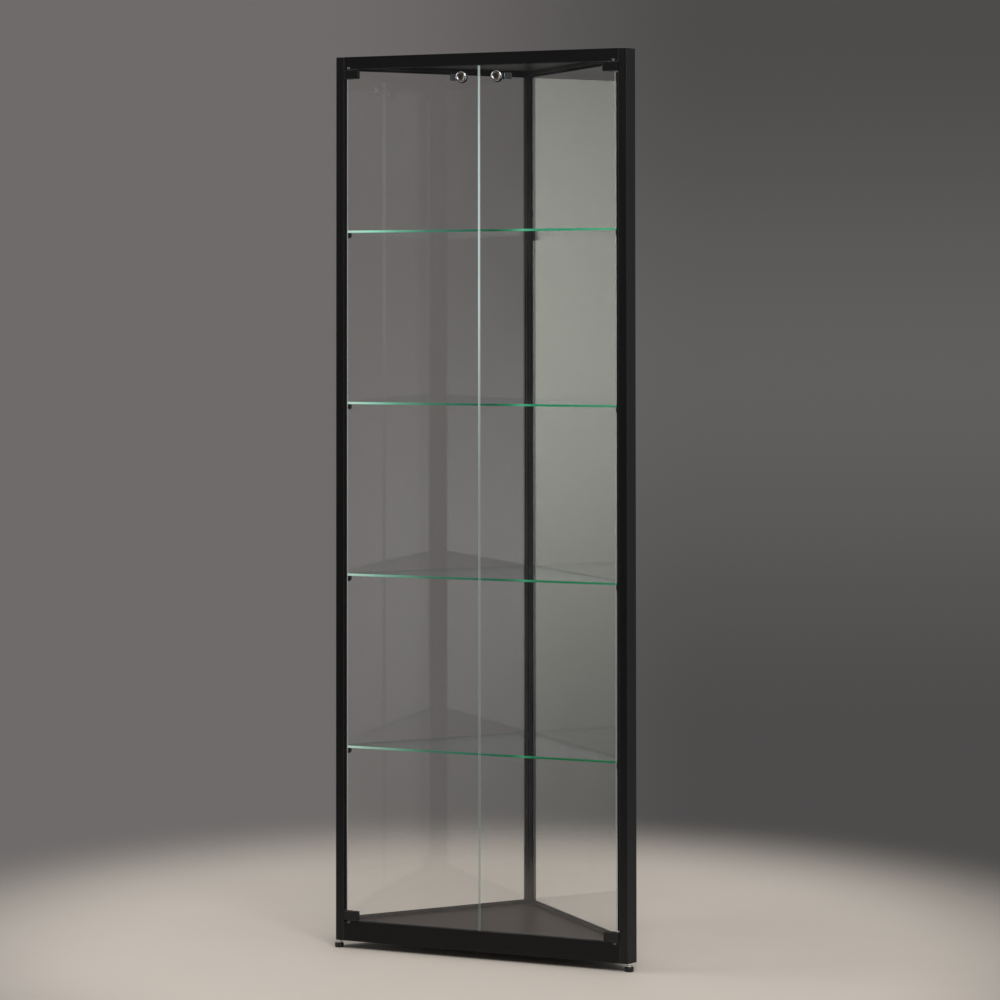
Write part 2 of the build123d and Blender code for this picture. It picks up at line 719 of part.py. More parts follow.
def write_doors():
    pieces = {
        "door_{}_glass": [door_glass()],
        "door_{}_hinges": door_hinges(),
        "door_{}_pins": door_pins(),
        "door_{}_hinge_screws": hinge_screws(),
        "lock_{}_body": [lock_body()],
        "lock_{}_nut": [lock_nut()],
        "lock_{}_plug": [lock_plug()],
        "lock_{}_cam": [lock_cam()],
        "lock_{}_cam_screw": [cam_screw()],
    }
    for name, solids in pieces.items():
        save(name.format("right"), *solids)
        save(name.format("left"), *[other_hand(s) for s in solids])


def write_shelves():
    for number in range(1, SHELF_COUNT + 1):
        under = SHELF_ZERO + number * SHELF_PITCH - SHELF / 2
        save("shelf_%d_glass" % number, shelf_glass(under))
        save("shelf_%d_bearers" % number, *at_posts(bearer_local(), under))
        save("shelf_%d_screws" % number, *bearer_screws(under))


def write_feet():
    for name, (x, y) in foot_places().items():
        save("foot_%s_pad" % name, Pos(x, y, 0) * foot_pad())
        save("foot_%s_stem" % name, Pos(x, y, 0) * foot_stem())


write_frame()
write_doors()
write_shelves()
write_feet()
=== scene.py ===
"""Looks for the corner display cabinet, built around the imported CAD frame."""
import math

import bmesh
import bpy
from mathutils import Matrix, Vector
from mathutils.geometry import tessellate_polygon


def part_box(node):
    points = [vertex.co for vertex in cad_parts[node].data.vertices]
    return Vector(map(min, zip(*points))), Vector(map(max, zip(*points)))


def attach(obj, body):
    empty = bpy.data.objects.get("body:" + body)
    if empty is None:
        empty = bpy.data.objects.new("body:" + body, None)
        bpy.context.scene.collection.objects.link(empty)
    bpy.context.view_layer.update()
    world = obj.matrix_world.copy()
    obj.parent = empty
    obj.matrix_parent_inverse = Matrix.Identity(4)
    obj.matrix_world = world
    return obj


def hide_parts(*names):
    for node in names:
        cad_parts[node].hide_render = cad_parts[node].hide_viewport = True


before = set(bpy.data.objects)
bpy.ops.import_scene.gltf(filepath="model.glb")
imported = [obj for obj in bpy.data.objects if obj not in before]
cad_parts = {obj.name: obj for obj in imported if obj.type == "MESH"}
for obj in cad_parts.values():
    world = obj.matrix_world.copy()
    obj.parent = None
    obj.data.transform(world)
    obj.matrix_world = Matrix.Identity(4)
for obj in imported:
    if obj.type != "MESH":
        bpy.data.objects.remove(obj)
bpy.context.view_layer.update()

MM = 0.001
ROOT2 = math.sqrt(2.0)


# ---- places from the frame
def box_mm(node):
    """Lowest and highest corner of a CAD node in millimetres."""
    low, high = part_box(node)
    return low / MM, high / MM


RAIL_LOW, RAIL_HIGH = box_mm("rail_bottom_front")
POST_LOW, POST_HIGH = box_mm("post_right")
FRONT = RAIL_LOW.y  # front plane of the frame
JAMB = RAIL_HIGH.x  # inner face of the side posts
EDGE_X = POST_HIGH.x  # outermost edge of a side post
FRAME_LOW, FRAME_TOP = POST_LOW.z, POST_HIGH.z
BASE_TOP = RAIL_HIGH.z
HEAD_LOW = box_mm("rail_top_front")[0].z
SECTION = 21.0
CORNER_CUT = 39.9  # the sharp tips are cut off this far along
EDGE_Y = CORNER_CUT / ROOT2
LEG = EDGE_X * ROOT2
REAR_Y = (LEG + CORNER_CUT) / ROOT2  # wall corner
ARRIS_X = REAR_Y - CORNER_CUT
SIDE_START = ARRIS_X - JAMB
SIDE_END = LEG - SECTION
WALL = 2.2  # of the hollow rails
REAR_FLAT = 349.7  # flat on the inner corner of the rear post
SLOT_Y, SLOT_NECK, SLOT_HEAD = 16.5, 1.8, 2.8  # shelf slot: its middle and its half widths
SLOT_NECK_DEEP, SLOT_DEEP = 1.2, 3.25
GROOVE_NEAR, GROOVE_FAR = 8.0, 13.0  # glazing groove, in from the outer face
POST_GROOVE, RAIL_GROOVE = 6.0, 7.0  # its depth
BASE_LEDGE, BASE_STEP, BASE_ROOM_TOP = 17.0, 47.0, 44.8
HEAD_LEDGE, HEAD_UNDER, HEAD_ROOM_FAR, HEAD_ROOM_LOW = 15.0, 1969.0, 12.8, 1968.2
NOSE_DEEP, NOSE_TOP = 11.0, 1966.0  # nose of the front head rail
SIDE_LIP_LOW = 1961.0  # inner lip of the side head rails


def to_frame(point):
    """Row-frame metres from drawing millimetres whose y = 0 is the front plane."""
    return Vector((point[0], point[1] + FRONT, point[2])) * MM


def side(along, inward):
    """Plan position of a point of the right side: along it, and in from its outer face."""
    return (EDGE_X - (along + inward) / ROOT2, EDGE_Y + (along - inward) / ROOT2)


# ---- ways to lay a section
def upright(hand=1):
    """Section in plan, run upwards; hand -1 is the left half."""
    return lambda a, b, t: (hand * a, b, t)


def crosswise(a, b, t):
    """Section in y and z, run along x."""
    return (t, a, b)


def facing(hand=1):
    """Outline in x and z, thickness along y."""
    return lambda a, b, t: (hand * a, t, b)


def on_side(hand):
    """Section across and up, run along a side."""
    def place(a, b, t):
        x, y = side(t, a)
        return (hand * x, y, b)
    return place


def in_side(hand):
    """Outline along and up, thickness across the side."""
    def place(a, b, t):
        x, y = side(a, t)
        return (hand * x, y, b)
    return place


def about_z(cx, cy):
    return lambda a, b, t: (cx + a, cy + b, t)


def about_y(cx, cz):
    return lambda a, b, t: (cx + a, t, cz + b)


# ---- outlines
def rounded(points, radius=0.5, steps=3):
    """Closed outline with rounded corners; a point may carry its own radius."""
    out = []
    count = len(points)
    for i, p in enumerate(points):
        r = p[2] if len(p) > 2 else radius
        here = Vector(p[:2])
        back = Vector(points[i - 1][:2]) - here
        ahead = Vector(points[(i + 1) % count][:2]) - here
        angle = back.angle(ahead)
        if r <= 0 or angle > math.pi - 0.05:
            out.append(here)
            continue
        cut = min(r / math.tan(angle / 2), 0.45 * back.length, 0.45 * ahead.length)
        r = cut * math.tan(angle / 2)
        back.normalize()
        ahead.normalize()
        centre = here + (back + ahead).normalized() * (r / math.sin(angle / 2))
        start = here + back * cut - centre
        sweep = start.angle_signed(here + ahead * cut - centre)
        for k in range(steps + 1):
            turn = -sweep * k / steps
            c, s = math.cos(turn), math.sin(turn)
            out.append(centre + Vector((start.x * c - start.y * s, start.x * s + start.y * c)))
    return out


def circle(cx, cy, r, count=48):
    turns = [2 * math.pi * i / count for i in range(count)]
    return [Vector((cx + r * math.cos(t), cy + r * math.sin(t))) for t in turns]


def arc(cx, cy, r, start, end, count):
    """Points of an arc; angles in radians."""
    turns = [start + (end - start) * i / count for i in range(count + 1)]
    return [(cx + r * math.cos(t), cy + r * math.sin(t), 0) for t in turns]


def turned(ring, anticlockwise):
    area = sum(ring[i - 1].x * p.y - p.x * ring[i - 1].y for i, p in enumerate(ring))
    return list(ring) if (area > 0) == anticlockwise else list(reversed(ring))


def moved_in(ring, depth):
    """Ring moved towards the material by depth."""
    out = []
    count = len(ring)
    for i, p in enumerate(ring):
        before = (p - ring[i - 1]).normalized()
        after = (ring[(i + 1) % count] - p).normalized()
        n = Vector((-before.y, before.x))
        both = n + Vector((-after.y, after.x))
        out.append(p + both * (depth / max(both.dot(n), 0.35)))
    return out


# ---- meshes
def prism(bm, place, outer, low, high, holes=(), chamfer=0.3, face=0, wall=0):
    """Solid on an outline from low to high, its end edges chamfered."""
    loops = [turned(outer, True)] + [turned(h, False) for h in holes]
    stations = [(low, chamfer), (low + chamfer, 0.0), (high - chamfer, 0.0), (high, chamfer)]
    ends = ([], [])
    flat = []
    for loop in loops:
        rings = []
        for t, depth in stations:
            ring = moved_in(loop, depth) if depth else loop
            rings.append([bm.verts.new(to_frame(place(p.x, p.y, t))) for p in ring])
        for one, two in zip(rings, rings[1:]):
            for i in range(len(one)):
                quad = bm.faces.new((one[i - 1], one[i], two[i], two[i - 1]))
                quad.material_index = wall
        ends[0].extend(rings[0])
        ends[1].extend(rings[-1])
        flat.append([Vector((p.x, p.y, 0)) for p in moved_in(loop, chamfer)])
    for tri in tessellate_polygon(flat):
        for end in ends:
            corners = [end[i] for i in tri]
            if len(set(corners)) == 3:
                bm.faces.new(corners).material_index = face


def lathe(bm, place, profile, segments=48):
    """Turned solid; profile holds (radius, height), and a radius may be a function of the
    angle. A profile that starts and ends on the axis closes there, any other closes on itself."""
    rings = []
    for radius, height in profile:
        if not callable(radius) and radius == 0:
            rings.append([bm.verts.new(to_frame(place(0, 0, height)))])
            continue
        ring = []
        for i in range(segments):
            t = 2 * math.pi * i / segments
            r = radius(t) if callable(radius) else radius
            ring.append(bm.verts.new(to_frame(place(r * math.cos(t), r * math.sin(t), height))))
        rings.append(ring)
    pairs = list(zip(rings, rings[1:]))
    if len(rings[0]) > 1:
        pairs.append((rings[-1], rings[0]))
    for one, two in pairs:
        for i in range(segments):
            spots = (one[(i - 1) % len(one)], one[i % len(one)],
                     two[i % len(two)], two[(i - 1) % len(two)])
            bm.faces.new(list(dict.fromkeys(spots)))


def hexagon(flats, limit=99.0):
    """Radius of a hexagon as a function of the angle, cut off at a largest radius."""
    def radius(t):
        off = (t + math.pi / 6) % (math.pi / 3) - math.pi / 6
        return min(flats / 2 / math.cos(off), limit)
    return radius


def thread(radius, low, high, pitch, depth, per_turn=6):
    """Profile rows of a screw thread between two heights."""
    def crest(height):
        def value(t):
            phase = (height / pitch - t / (2 * math.pi)) % 1.0
            fade = min(1.0, (height - low) / pitch, (high - height) / pitch)
            return radius - depth * (1 - fade * (1 - abs(2 * phase - 1)))
        return value
    rows = max(2, round((high - low) / pitch * per_turn))
    heights = [low + (high - low) * i / rows for i in range(rows + 1)]
    return [(crest(height), height) for height in heights]


SHARP = math.radians(38)


def finish_mesh(name, bm, materials, weighted=True):
    """Object from a bmesh, smooth but for edges sharper than SHARP."""
    bmesh.ops.remove_doubles(bm, verts=bm.verts, dist=1e-7)
    bmesh.ops.recalc_face_normals(bm, faces=bm.faces)
    mesh = bpy.data.meshes.new(name)
    bm.to_mesh(mesh)
    bm.free()
    piece = bpy.data.objects.new(name, mesh)
    bpy.context.scene.collection.objects.link(piece)
    for material in materials:
        mesh.materials.append(material)
    shade(piece, weighted)
    return piece


def shade(piece, weighted=True):
    bm = bmesh.new()
    bm.from_mesh(piece.data)
    for f in bm.faces:
        f.smooth = True
    for e in bm.edges:
        e.smooth = len(e.link_faces) == 2 and e.calc_face_angle(0) < SHARP
    bm.to_mesh(piece.data)
    bm.free()
    if weighted and "weighted" not in piece.modifiers:
        even = piece.modifiers.new("weighted", "WEIGHTED_NORMAL")
        even.keep_sharp = True
        even.weight = 90


def carve(piece, build):
    """Cuts the solids that build(bm) makes out of a piece."""
    bm = bmesh.new()
    build(bm)
    cutter = finish_mesh("cutter", bm, [], weighted=False)
    piece.modifiers.clear()
    cut = piece.modifiers.new("cut", "BOOLEAN")
    cut.operation = "DIFFERENCE"
    cut.solver = "EXACT"
    cut.object = cutter
    graph = bpy.context.evaluated_depsgraph_get()
    made = bpy.data.meshes.new_from_object(piece.evaluated_get(graph))
    piece.modifiers.clear()
    old = piece.data
    piece.data = made
    made.name = piece.name
    bpy.data.meshes.remove(old)
    bpy.data.objects.remove(cutter)
    shade(piece)


def rod(bm, place, radius, low, high, segments=24):
    lathe(bm, place, [(0, low), (radius, low), (radius, high), (0, high)], segments)


def piece_of(name, body, materials, build, weighted=True):
    """Builds one piece, sets it on its body and lets it stand for the CAD node of its name."""
    bm = bmesh.new()
    build(bm)
    piece = finish_mesh(name, bm, materials, weighted)
    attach(piece, body)
    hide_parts(name)
    return piece


# ---- materials
class Net:
    """A node material under construction."""

    def __init__(self, name, tree=None):
        if tree is None:
            self.material = bpy.data.materials.new(name)
            self.material.use_nodes = True
            tree = self.material.node_tree
        self.tree = tree
        tree.nodes.clear()

    def add(self, kind, inputs=None, **settings):
        node = self.tree.nodes.new(kind)
        for key, value in settings.items():
            setattr(node, key, value)
        for key, value in (inputs or {}).items():
            self.set_input(node.inputs[key], value)
        return node

    def set_input(self, socket, value):
        """Value is a node, one of its outputs, or plain."""
        if isinstance(value, bpy.types.Node):
            value = value.outputs[2 if value.bl_idname == "ShaderNodeMix" else 0]
        if isinstance(value, bpy.types.NodeSocket):
            self.tree.links.new(value, socket)
        else:
            socket.default_value = rgba(value) if socket.type == "RGBA" else value

    def math(self, operation, one, two=0.0, clamp=False):
        return self.add("ShaderNodeMath", {0: one, 1: two}, operation=operation, use_clamp=clamp)

    def times(self, one, two):
        return self.math("MULTIPLY", one, two)

    def plus(self, one, two):
        return self.math("ADD", one, two)

    def minus(self, one, two, clamp=False):
        return self.math("SUBTRACT", one, two, clamp)

    def noise(self, scale, detail=2.0, stretch=(1, 1, 1), roughness=0.5):
        """Noise in row-frame metres; scale is features per metre."""
        where = self.add("ShaderNodeTexCoord")
        shaped = self.add(
            "ShaderNodeMapping", {"Vector": where.outputs["Object"], "Scale": stretch}
        )
        return self.add(
            "ShaderNodeTexNoise",
            {"Vector": shaped, "Scale": scale, "Detail": detail, "Roughness": roughness},
        )

    def remap(self, value, low, high, new_low=0.0, new_high=1.0, shape="LINEAR"):
        return self.add("ShaderNodeMapRange", {
            "Value": value, "From Min": low, "From Max": high, "To Min": new_low, "To Max": new_high,
        }, interpolation_type=shape)

    def vector(self, operation, one, two=(0, 0, 0)):
        return self.add("ShaderNodeVectorMath", {0: one, 1: two}, operation=operation)

    def place(self):
        """Coordinates of the piece, in row-frame metres, taken apart."""
        where = self.add("ShaderNodeTexCoord")
        return self.add("ShaderNodeSeparateXYZ", {0: where.outputs["Object"]}).outputs

    def mix(self, factor, one, two):
        return self.add("ShaderNodeMix", {0: factor, 6: one, 7: two}, data_type="RGBA")

    def ramp(self, value, stops):
        """Colour ramp over 0..1 from (place, colour) stops."""
        node = self.add("ShaderNodeValToRGB", {0: value})
        marks = node.color_ramp.elements
        while len(marks) < len(stops):
            marks.new(1.0)
        for mark, (place, colour) in zip(marks, stops):
            mark.position = place
            mark.color = rgba(colour)
        return node

    def bump(self, height, distance, strength=1.0):
        return self.add("ShaderNodeBump",
                        {"Height": height, "Distance": distance, "Strength": strength})

    def edges(self, radius):
        """0 on flat ground, rising to 1 on convex and concave edges."""
        soft = self.add("ShaderNodeBevel", {"Radius": radius}, samples=4)
        plain = self.add("ShaderNodeNewGeometry")
        near = self.vector("DOT_PRODUCT", soft.outputs[0], plain.outputs["Normal"])
        return self.remap(near.outputs["Value"], 0.999, 0.93)

    def principled(self, colour, rough, normal, spec=0.5, metal=0.0):
        return self.add("ShaderNodeBsdfPrincipled", {
            "Base Color": colour, "Roughness": rough, "Specular IOR Level": spec,
            "Metallic": metal, "Normal": normal,
        })

    def surface(self, shader):
        self.add("ShaderNodeOutputMaterial", {"Surface": shader})
        return self.material


def rgba(value):
    return tuple(value) + (1.0,) if len(value) == 3 else value


def coated(name, dark, light, rough, stretch, grain=2200.0, lift=1.2e-5, edge_wear_and_highlight=0.5, spec=0.5):
    """Black coating on metal: fine texture, drawing streaks, and edges lightened partly as rubbed wear,
    partly as a painted arris highlight.
    """
    net = Net(name)
    cloudy = net.noise(9.0, 3.0)
    streak = net.noise(700.0, 2.0, stretch)
    fine = net.noise(grain, 3.0)
    base = net.mix(cloudy, dark, light)
    # edges lightened towards pale grey: part rubbed wear, part painted highlight on the arris
    edge = net.times(net.edges(0.0007), edge_wear_and_highlight)
    rub_and_highlight = net.times(edge, net.remap(net.noise(60.0, 3.0), 0.3, 0.7, 0.45, 1.0))
    colour = net.mix(rub_and_highlight, base, (0.40, 0.40, 0.42))
    height = net.plus(net.times(streak, 0.45), fine)
    roughness = net.remap(streak, 0.2, 0.8, rough - 0.05, rough + 0.07)
    return net.surface(net.principled(colour, roughness, net.bump(height, lift), spec))


def soft_black(name, dark, light, rough, grain, lift, spec=0.4):
    """Rubber or moulded plastic."""
    net = Net(name)
    cloudy = net.noise(40.0, 3.0)
    fine = net.noise(grain, 4.0, roughness=0.65)
    colour = net.mix(cloudy, dark, light)
    roughness = net.remap(fine, 0.25, 0.75, rough - 0.08, rough + 0.08)
    return net.surface(net.principled(colour, roughness, net.bump(fine, lift), spec))


def bright_metal(name, dark, light, rough, stretch, scratch=1500.0, lift=3e-6):
    """Plated steel with fine turning or brushing marks."""
    net = Net(name)
    cloudy = net.noise(300.0, 3.0)
    lines = net.noise(scratch, 3.0, stretch)
    colour = net.mix(cloudy, dark, light)
    roughness = net.remap(lines, 0.2, 0.8, rough * 0.7, rough * 1.3)
    return net.surface(net.principled(colour, roughness, net.bump(lines, lift), metal=1.0))


def laminate(name, dark, light, rough, spec=0.5):
    """Dark melamine board with a fine straight grain."""
    net = Net(name)
    broad = net.noise(6.0, 3.0, (1, 9, 1))
    grain = net.noise(60.0, 5.0, (1, 22, 1), 0.6)
    pores = net.noise(900.0, 2.0, (0.12, 1, 1))
    tone = net.plus(net.times(grain, 0.65), net.times(broad, 0.35))
    colour = net.mix(net.remap(tone, 0.35, 0.65), dark, light)
    roughness = net.remap(pores, 0.3, 0.7, rough - 0.05, rough + 0.08)
    relief = net.bump(net.plus(grain, net.times(pores, 0.5)), 1.5e-5)
    return net.surface(net.principled(colour, roughness, relief, spec))


def clear_glass(name, tint, haze):
    """Face of a pane: clear, reflecting by angle, with a trace of dust and waviness."""
    net = Net(name)
    place = net.add("ShaderNodeNewGeometry")
    wave = net.noise(5.0, 1.0)
    normal = net.bump(wave, 2.5e-5)
    facing_way = net.vector("DOT_PRODUCT", place.outputs["Incoming"], place.outputs["Normal"])
    slant = net.minus(1.0, net.math("ABSOLUTE", facing_way.outputs["Value"]), clamp=True)
    grazing = net.math("POWER", slant, 5.0)
    share = net.plus(net.times(grazing, 0.955), 0.045)
    through = net.add("ShaderNodeBsdfTransparent", {"Color": tint})
    mirror = net.add("ShaderNodeBsdfGlossy", {"Color": (1, 1, 1), "Roughness": 0.0, "Normal": normal})
    glass = net.add("ShaderNodeMixShader", {0: share, 1: through, 2: mirror})
    smear = net.remap(net.noise(14.0, 5.0, (1, 1, 0.5), 0.6), 0.42, 0.75, 0.0, haze)
    dust = net.add("ShaderNodeBsdfDiffuse", {"Color": (0.7, 0.72, 0.72)})
    return net.surface(net.add("ShaderNodeMixShader", {0: smear, 1: glass, 2: dust}))


def edge_surface(net, colour, painted_glow, show, spec=0.5):
    """Ground and polished glass edge with a little painted glow (emission, no lamp) that lets some
    light through.
    """
    fine = net.noise(900.0, 2.0)
    body = net.add("ShaderNodeBsdfPrincipled", {
        "Base Color": colour,
        "Roughness": net.remap(fine, 0.3, 0.7, 0.08, 0.22),
        "Specular IOR Level": spec,
        # painted glow: emission standing in for light caught in the glass edge
        "Emission Color": colour,
        "Emission Strength": painted_glow,
        "Normal": net.bump(fine, 4e-6),
    })
    through = net.add("ShaderNodeBsdfTransparent", {"Color": (0.86, 0.90, 0.88)})
    return net.surface(net.add("ShaderNodeMixShader", {0: 1.0 - show, 1: body, 2: through}))


def edge_colour(net, pale, deep):
    """Mottled along the edge between its pale and its deep colour."""
    along = net.noise(7.0, 2.0, (1, 1, 0.15))
    return net.mix(net.remap(along, 0.35, 0.65), deep, pale)


def glass_edge(name, pale, deep, painted_glow, show=0.75):
    """Edge coloured by the depth of the pane, mottled between a pale and a deep colour, with a painted
    glow.
    """
    net = Net(name)
    return edge_surface(net, edge_colour(net, pale, deep), painted_glow, show)


def meeting_edge_painted_glow(name, pale, deep, painted_glow_stops):
    """Door edge with pale colours and a painted glow that changes with height, standing in for the room
    light it catches.
    """
    net = Net(name)
    height = net.remap(net.place()[2], 0.0, 2.0)
    painted_glow = net.ramp(height, [(place, (level, level, level)) for place, level in painted_glow_stops])
    return edge_surface(net, edge_colour(net, pale, deep), painted_glow, 0.72)


def front_edge_painted_light(name, upper, lower, painted_glow, half_width, tall):
    """Edge with painted light and shade: its green runs from pale to deep across the width with painted
    bright bands, deeper on the lower shelves.
    """
    net = Net(name)
    uneven = net.times(net.minus(net.noise(9.0, 2.0, (1, 1, 6)), 0.5), 0.05)
    place = net.place()
    across = net.plus(net.remap(place[0], -half_width, half_width), uneven)
    down = net.remap(place[2], tall[1], tall[0])
    # painted light across the width, one ramp for the upper and one for the lower shelves
    painted_light_ramps = [net.ramp(across, stops) for stops in (upper, lower)]
    colour = net.mix(down, *painted_light_ramps)
    return edge_surface(net, colour, painted_glow, 0.93, 0.2)


ALONG_Z = (1, 1, 0.01)
# post edges get the strongest lightening, partly rubbed wear and partly a painted arris highlight
POST_BLACK = coated("post_black", (0.0036, 0.0033, 0.0041), (0.0062, 0.0056, 0.0069), 0.36, ALONG_Z,
                    spec=0.34)
RAIL_BLACK = coated("rail_black", (0.0046, 0.0039, 0.0045), (0.0072, 0.0062, 0.0070), 0.38,
                    (0.01, 0.01, 1), edge_wear_and_highlight=0.06, spec=0.22)
HINGE_BLACK = coated("hinge_black", (0.004, 0.004, 0.0045), (0.007, 0.007, 0.0075), 0.30, (1, 1, 1),
                     3000.0, edge_wear_and_highlight=0.25, spec=0.4)
NUT_BLACK = coated("nut_black", (0.003, 0.003, 0.0033), (0.006, 0.006, 0.0064), 0.40, (1, 1, 1), 3000.0,
                   edge_wear_and_highlight=0.2, spec=0.3)
RUBBER = soft_black("rubber", (0.005, 0.005, 0.0055), (0.009, 0.009, 0.010), 0.68, 1400.0, 1.5e-5, 0.2)
PLASTIC = soft_black("moulded_black", (0.010, 0.010, 0.011), (0.015, 0.015, 0.016), 0.48, 2600.0,
                     1.0e-5)
FOOT_BLACK = soft_black("foot_black", (0.006, 0.006, 0.007), (0.011, 0.011, 0.012), 0.30, 2000.0,
                        1.0e-5)
ZINC = bright_metal("bright_zinc", (0.70, 0.71, 0.72), (0.86, 0.86, 0.86), 0.20, (1, 1, 6))
SCREW_ZINC = bright_metal("screw_zinc", (0.34, 0.34, 0.35), (0.46, 0.46, 0.47), 0.32, (1, 1, 1))
PIN_STEEL = bright_metal("pin_steel", (0.10, 0.10, 0.103), (0.17, 0.17, 0.174), 0.38, (1, 1, 6))
CHROME = bright_metal("chrome", (0.46, 0.46, 0.47), (0.56, 0.56, 0.57), 0.09, (1, 6, 1))
# brownish tint of the plug face is a painted warm reflection
PLUG_CHROME_PAINTED_WARM = bright_metal("plug_chrome_painted_warm", (0.24, 0.195, 0.14), (0.38, 0.31, 0.23), 0.24, (1, 6, 1))
BASE_LAMINATE = laminate("base_laminate", (0.029, 0.015, 0.013), (0.045, 0.027, 0.024), 0.36, 0.40)
# blue-grey tint of the top board is painted cool light on its underside
TOP_LAMINATE_PAINTED_COOL = laminate("top_laminate_painted_cool", (0.021, 0.0215, 0.026), (0.032, 0.033, 0.039), 0.38)
SIDE_GLASS = clear_glass("side_glass", (0.986, 0.986, 0.982), 0.010)
DOOR_GLASS = clear_glass("door_glass", (0.986, 0.986, 0.985), 0.010)
SHELF_GLASS = clear_glass("shelf_glass", (0.985, 0.990, 0.986), 0.008)
# side-pane and shelf-back edges carry a small painted glow
PANE_EDGE = glass_edge("pane_edge", (0.20, 0.30, 0.26), (0.06, 0.14, 0.10), 0.05)
# meeting edges: pale colours and a painted glow set by height
MEET_EDGE_PAINTED_GLOW = meeting_edge_painted_glow("meeting_edge_painted_glow", (0.46, 0.55, 0.55), (0.30, 0.38, 0.37), (
    (0.15, 0.02), (0.50, 0.12), (0.62, 0.55), (0.72, 1.0), (0.87, 0.90), (0.97, 0.60),
))
# hinge-side door edges: pale grey with a glow, a painted highlight
JAMB_EDGE_PAINTED_HIGHLIGHT = glass_edge("jamb_edge_painted_highlight", (0.52, 0.52, 0.51), (0.40, 0.40, 0.39), 0.16, 0.7)
# top and bottom door edges: near black, painted shade
END_EDGE_PAINTED_SHADE = glass_edge("end_edge_painted_shade", (0.020, 0.022, 0.021), (0.008, 0.010, 0.009), 0.0, 0.9)
SHELF_BACK = glass_edge("shelf_back_edge", (0.10, 0.15, 0.12), (0.03, 0.06, 0.045), 0.05, 0.35)
# stops of painted light and shade along the shelf front edge, with bright painted bands
SHELF_FRONT_PAINTED_LIGHT = front_edge_painted_light("shelf_front_edge", (
    (0.00, (0.52, 0.80, 0.65)), (0.09, (0.30, 0.70, 0.53)), (0.19, (0.12, 0.38, 0.26)),
    (0.31, (0.05, 0.18, 0.12)), (0.43, (0.012, 0.13, 0.075)), (0.55, (0.002, 0.08, 0.032)),
    (0.61, (0.02, 0.20, 0.09)), (0.66, (0.075, 0.42, 0.24)), (0.71, (0.02, 0.27, 0.13)),
    (0.80, (0.01, 0.27, 0.125)), (0.96, (0.06, 0.34, 0.18)),
), (
    (0.00, (0.45, 0.65, 0.55)), (0.09, (0.26, 0.44, 0.36)), (0.19, (0.11, 0.29, 0.20)),
    (0.31, (0.04, 0.14, 0.09)), (0.43, (0.02, 0.13, 0.075)), (0.55, (0.002, 0.10, 0.055)),
    (0.61, (0.002, 0.115, 0.05)), (0.66, (0.03, 0.24, 0.115)), (0.71, (0.002, 0.115, 0.048)),
    (0.80, (0.001, 0.10, 0.032)), (0.96, (0.002, 0.12, 0.046)),
), 0.62, 0.315, (0.60, 1.60))

HANDS = (("left", -1), ("right", 1))


# ---- frame sections
def post_groove(start, way):
    """Glazing groove that goes into a post from one end of a side."""
    deep = start + way * POST_GROOVE
    return [side(start, GROOVE_NEAR), side(deep, GROOVE_NEAR), side(deep, GROOVE_FAR),
            side(start, GROOVE_FAR)]


def side_post_outline():
    """Six-sided section with the glazing groove and the shelf slot."""
    upper = [(0, SLOT_NECK), (SLOT_NECK_DEEP, SLOT_NECK), (SLOT_NECK_DEEP, SLOT_HEAD),
             (SLOT_DEEP, SLOT_HEAD)]
    slot = [(d, SLOT_Y + y) for d, y in upper] + [(d, SLOT_Y - y) for d, y in reversed(upper)]
    points = [(JAMB, 0, 0.7), (ARRIS_X, 0, 0.9), (EDGE_X, EDGE_Y, 0.9), side(SIDE_START, 0) + (0.6,)]
    points += [p + (0.25,) for p in post_groove(SIDE_START, -1)]
    points += [side(SIDE_START, SECTION) + (0.7,), (JAMB, SECTION, 0.4)]
    points += [(JAMB + d, y, 0.2) for d, y in slot]
    return rounded(points)


def rear_post_outline():
    flat_x = REAR_FLAT - (REAR_Y - SECTION * ROOT2)
    right = [side(SIDE_END, 0) + (0.7,)] + [p + (0.25,) for p in post_groove(SIDE_END, 1)]
    right += [(flat_x, REAR_FLAT, 0.4)]
    slot = [(SLOT_NECK, 0), (SLOT_NECK, SLOT_NECK_DEEP), (SLOT_HEAD, SLOT_NECK_DEEP),
            (SLOT_HEAD, SLOT_DEEP)]
    right += [(x, REAR_FLAT + y, 0.2) for x, y in slot]
    left = [(-p[0],) + tuple(p[1:]) for p in reversed(right)]
    return rounded([(0, REAR_Y, 0.9)] + right + left)


BORE, BORE_X, BORE_Y, REAR_BORE = 5.25, 334.5, 15.5, 7.6
PLUG_Y, PLUG_Z_LOW = SECTION / 2, (FRAME_LOW + WALL + BASE_ROOM_TOP) / 2
HEAD_PLUG_Y, PLUG_Z_TOP = (WALL + HEAD_ROOM_FAR) / 2, (HEAD_ROOM_LOW + FRAME_TOP - WALL) / 2
DOWEL, DOWEL_DEEP = 2.5, 5.25


def post_holes(bm):
    """Dowel holes of the corner plugs, for the right half."""
    for inward, z in ((PLUG_Y, PLUG_Z_LOW), (HEAD_PLUG_Y, PLUG_Z_TOP)):
        rod(bm, lambda a, b, t: (t, inward + a, z + b), DOWEL, JAMB - 1, JAMB + DOWEL_DEEP, 16)
        for start, way in ((SIDE_START, -1), (SIDE_END, 1)):
            def along(a, b, t):
                x, y = side(start + way * t, inward + a)
                return (x, y, z + b)
            rod(bm, along, DOWEL, -1, DOWEL_DEEP, 16)


def mirrored(build):
    """The same solids for the left half."""
    def both(bm):
        build(bm)
        for v in bm.verts:
            v.co.x = -v.co.x
    return both


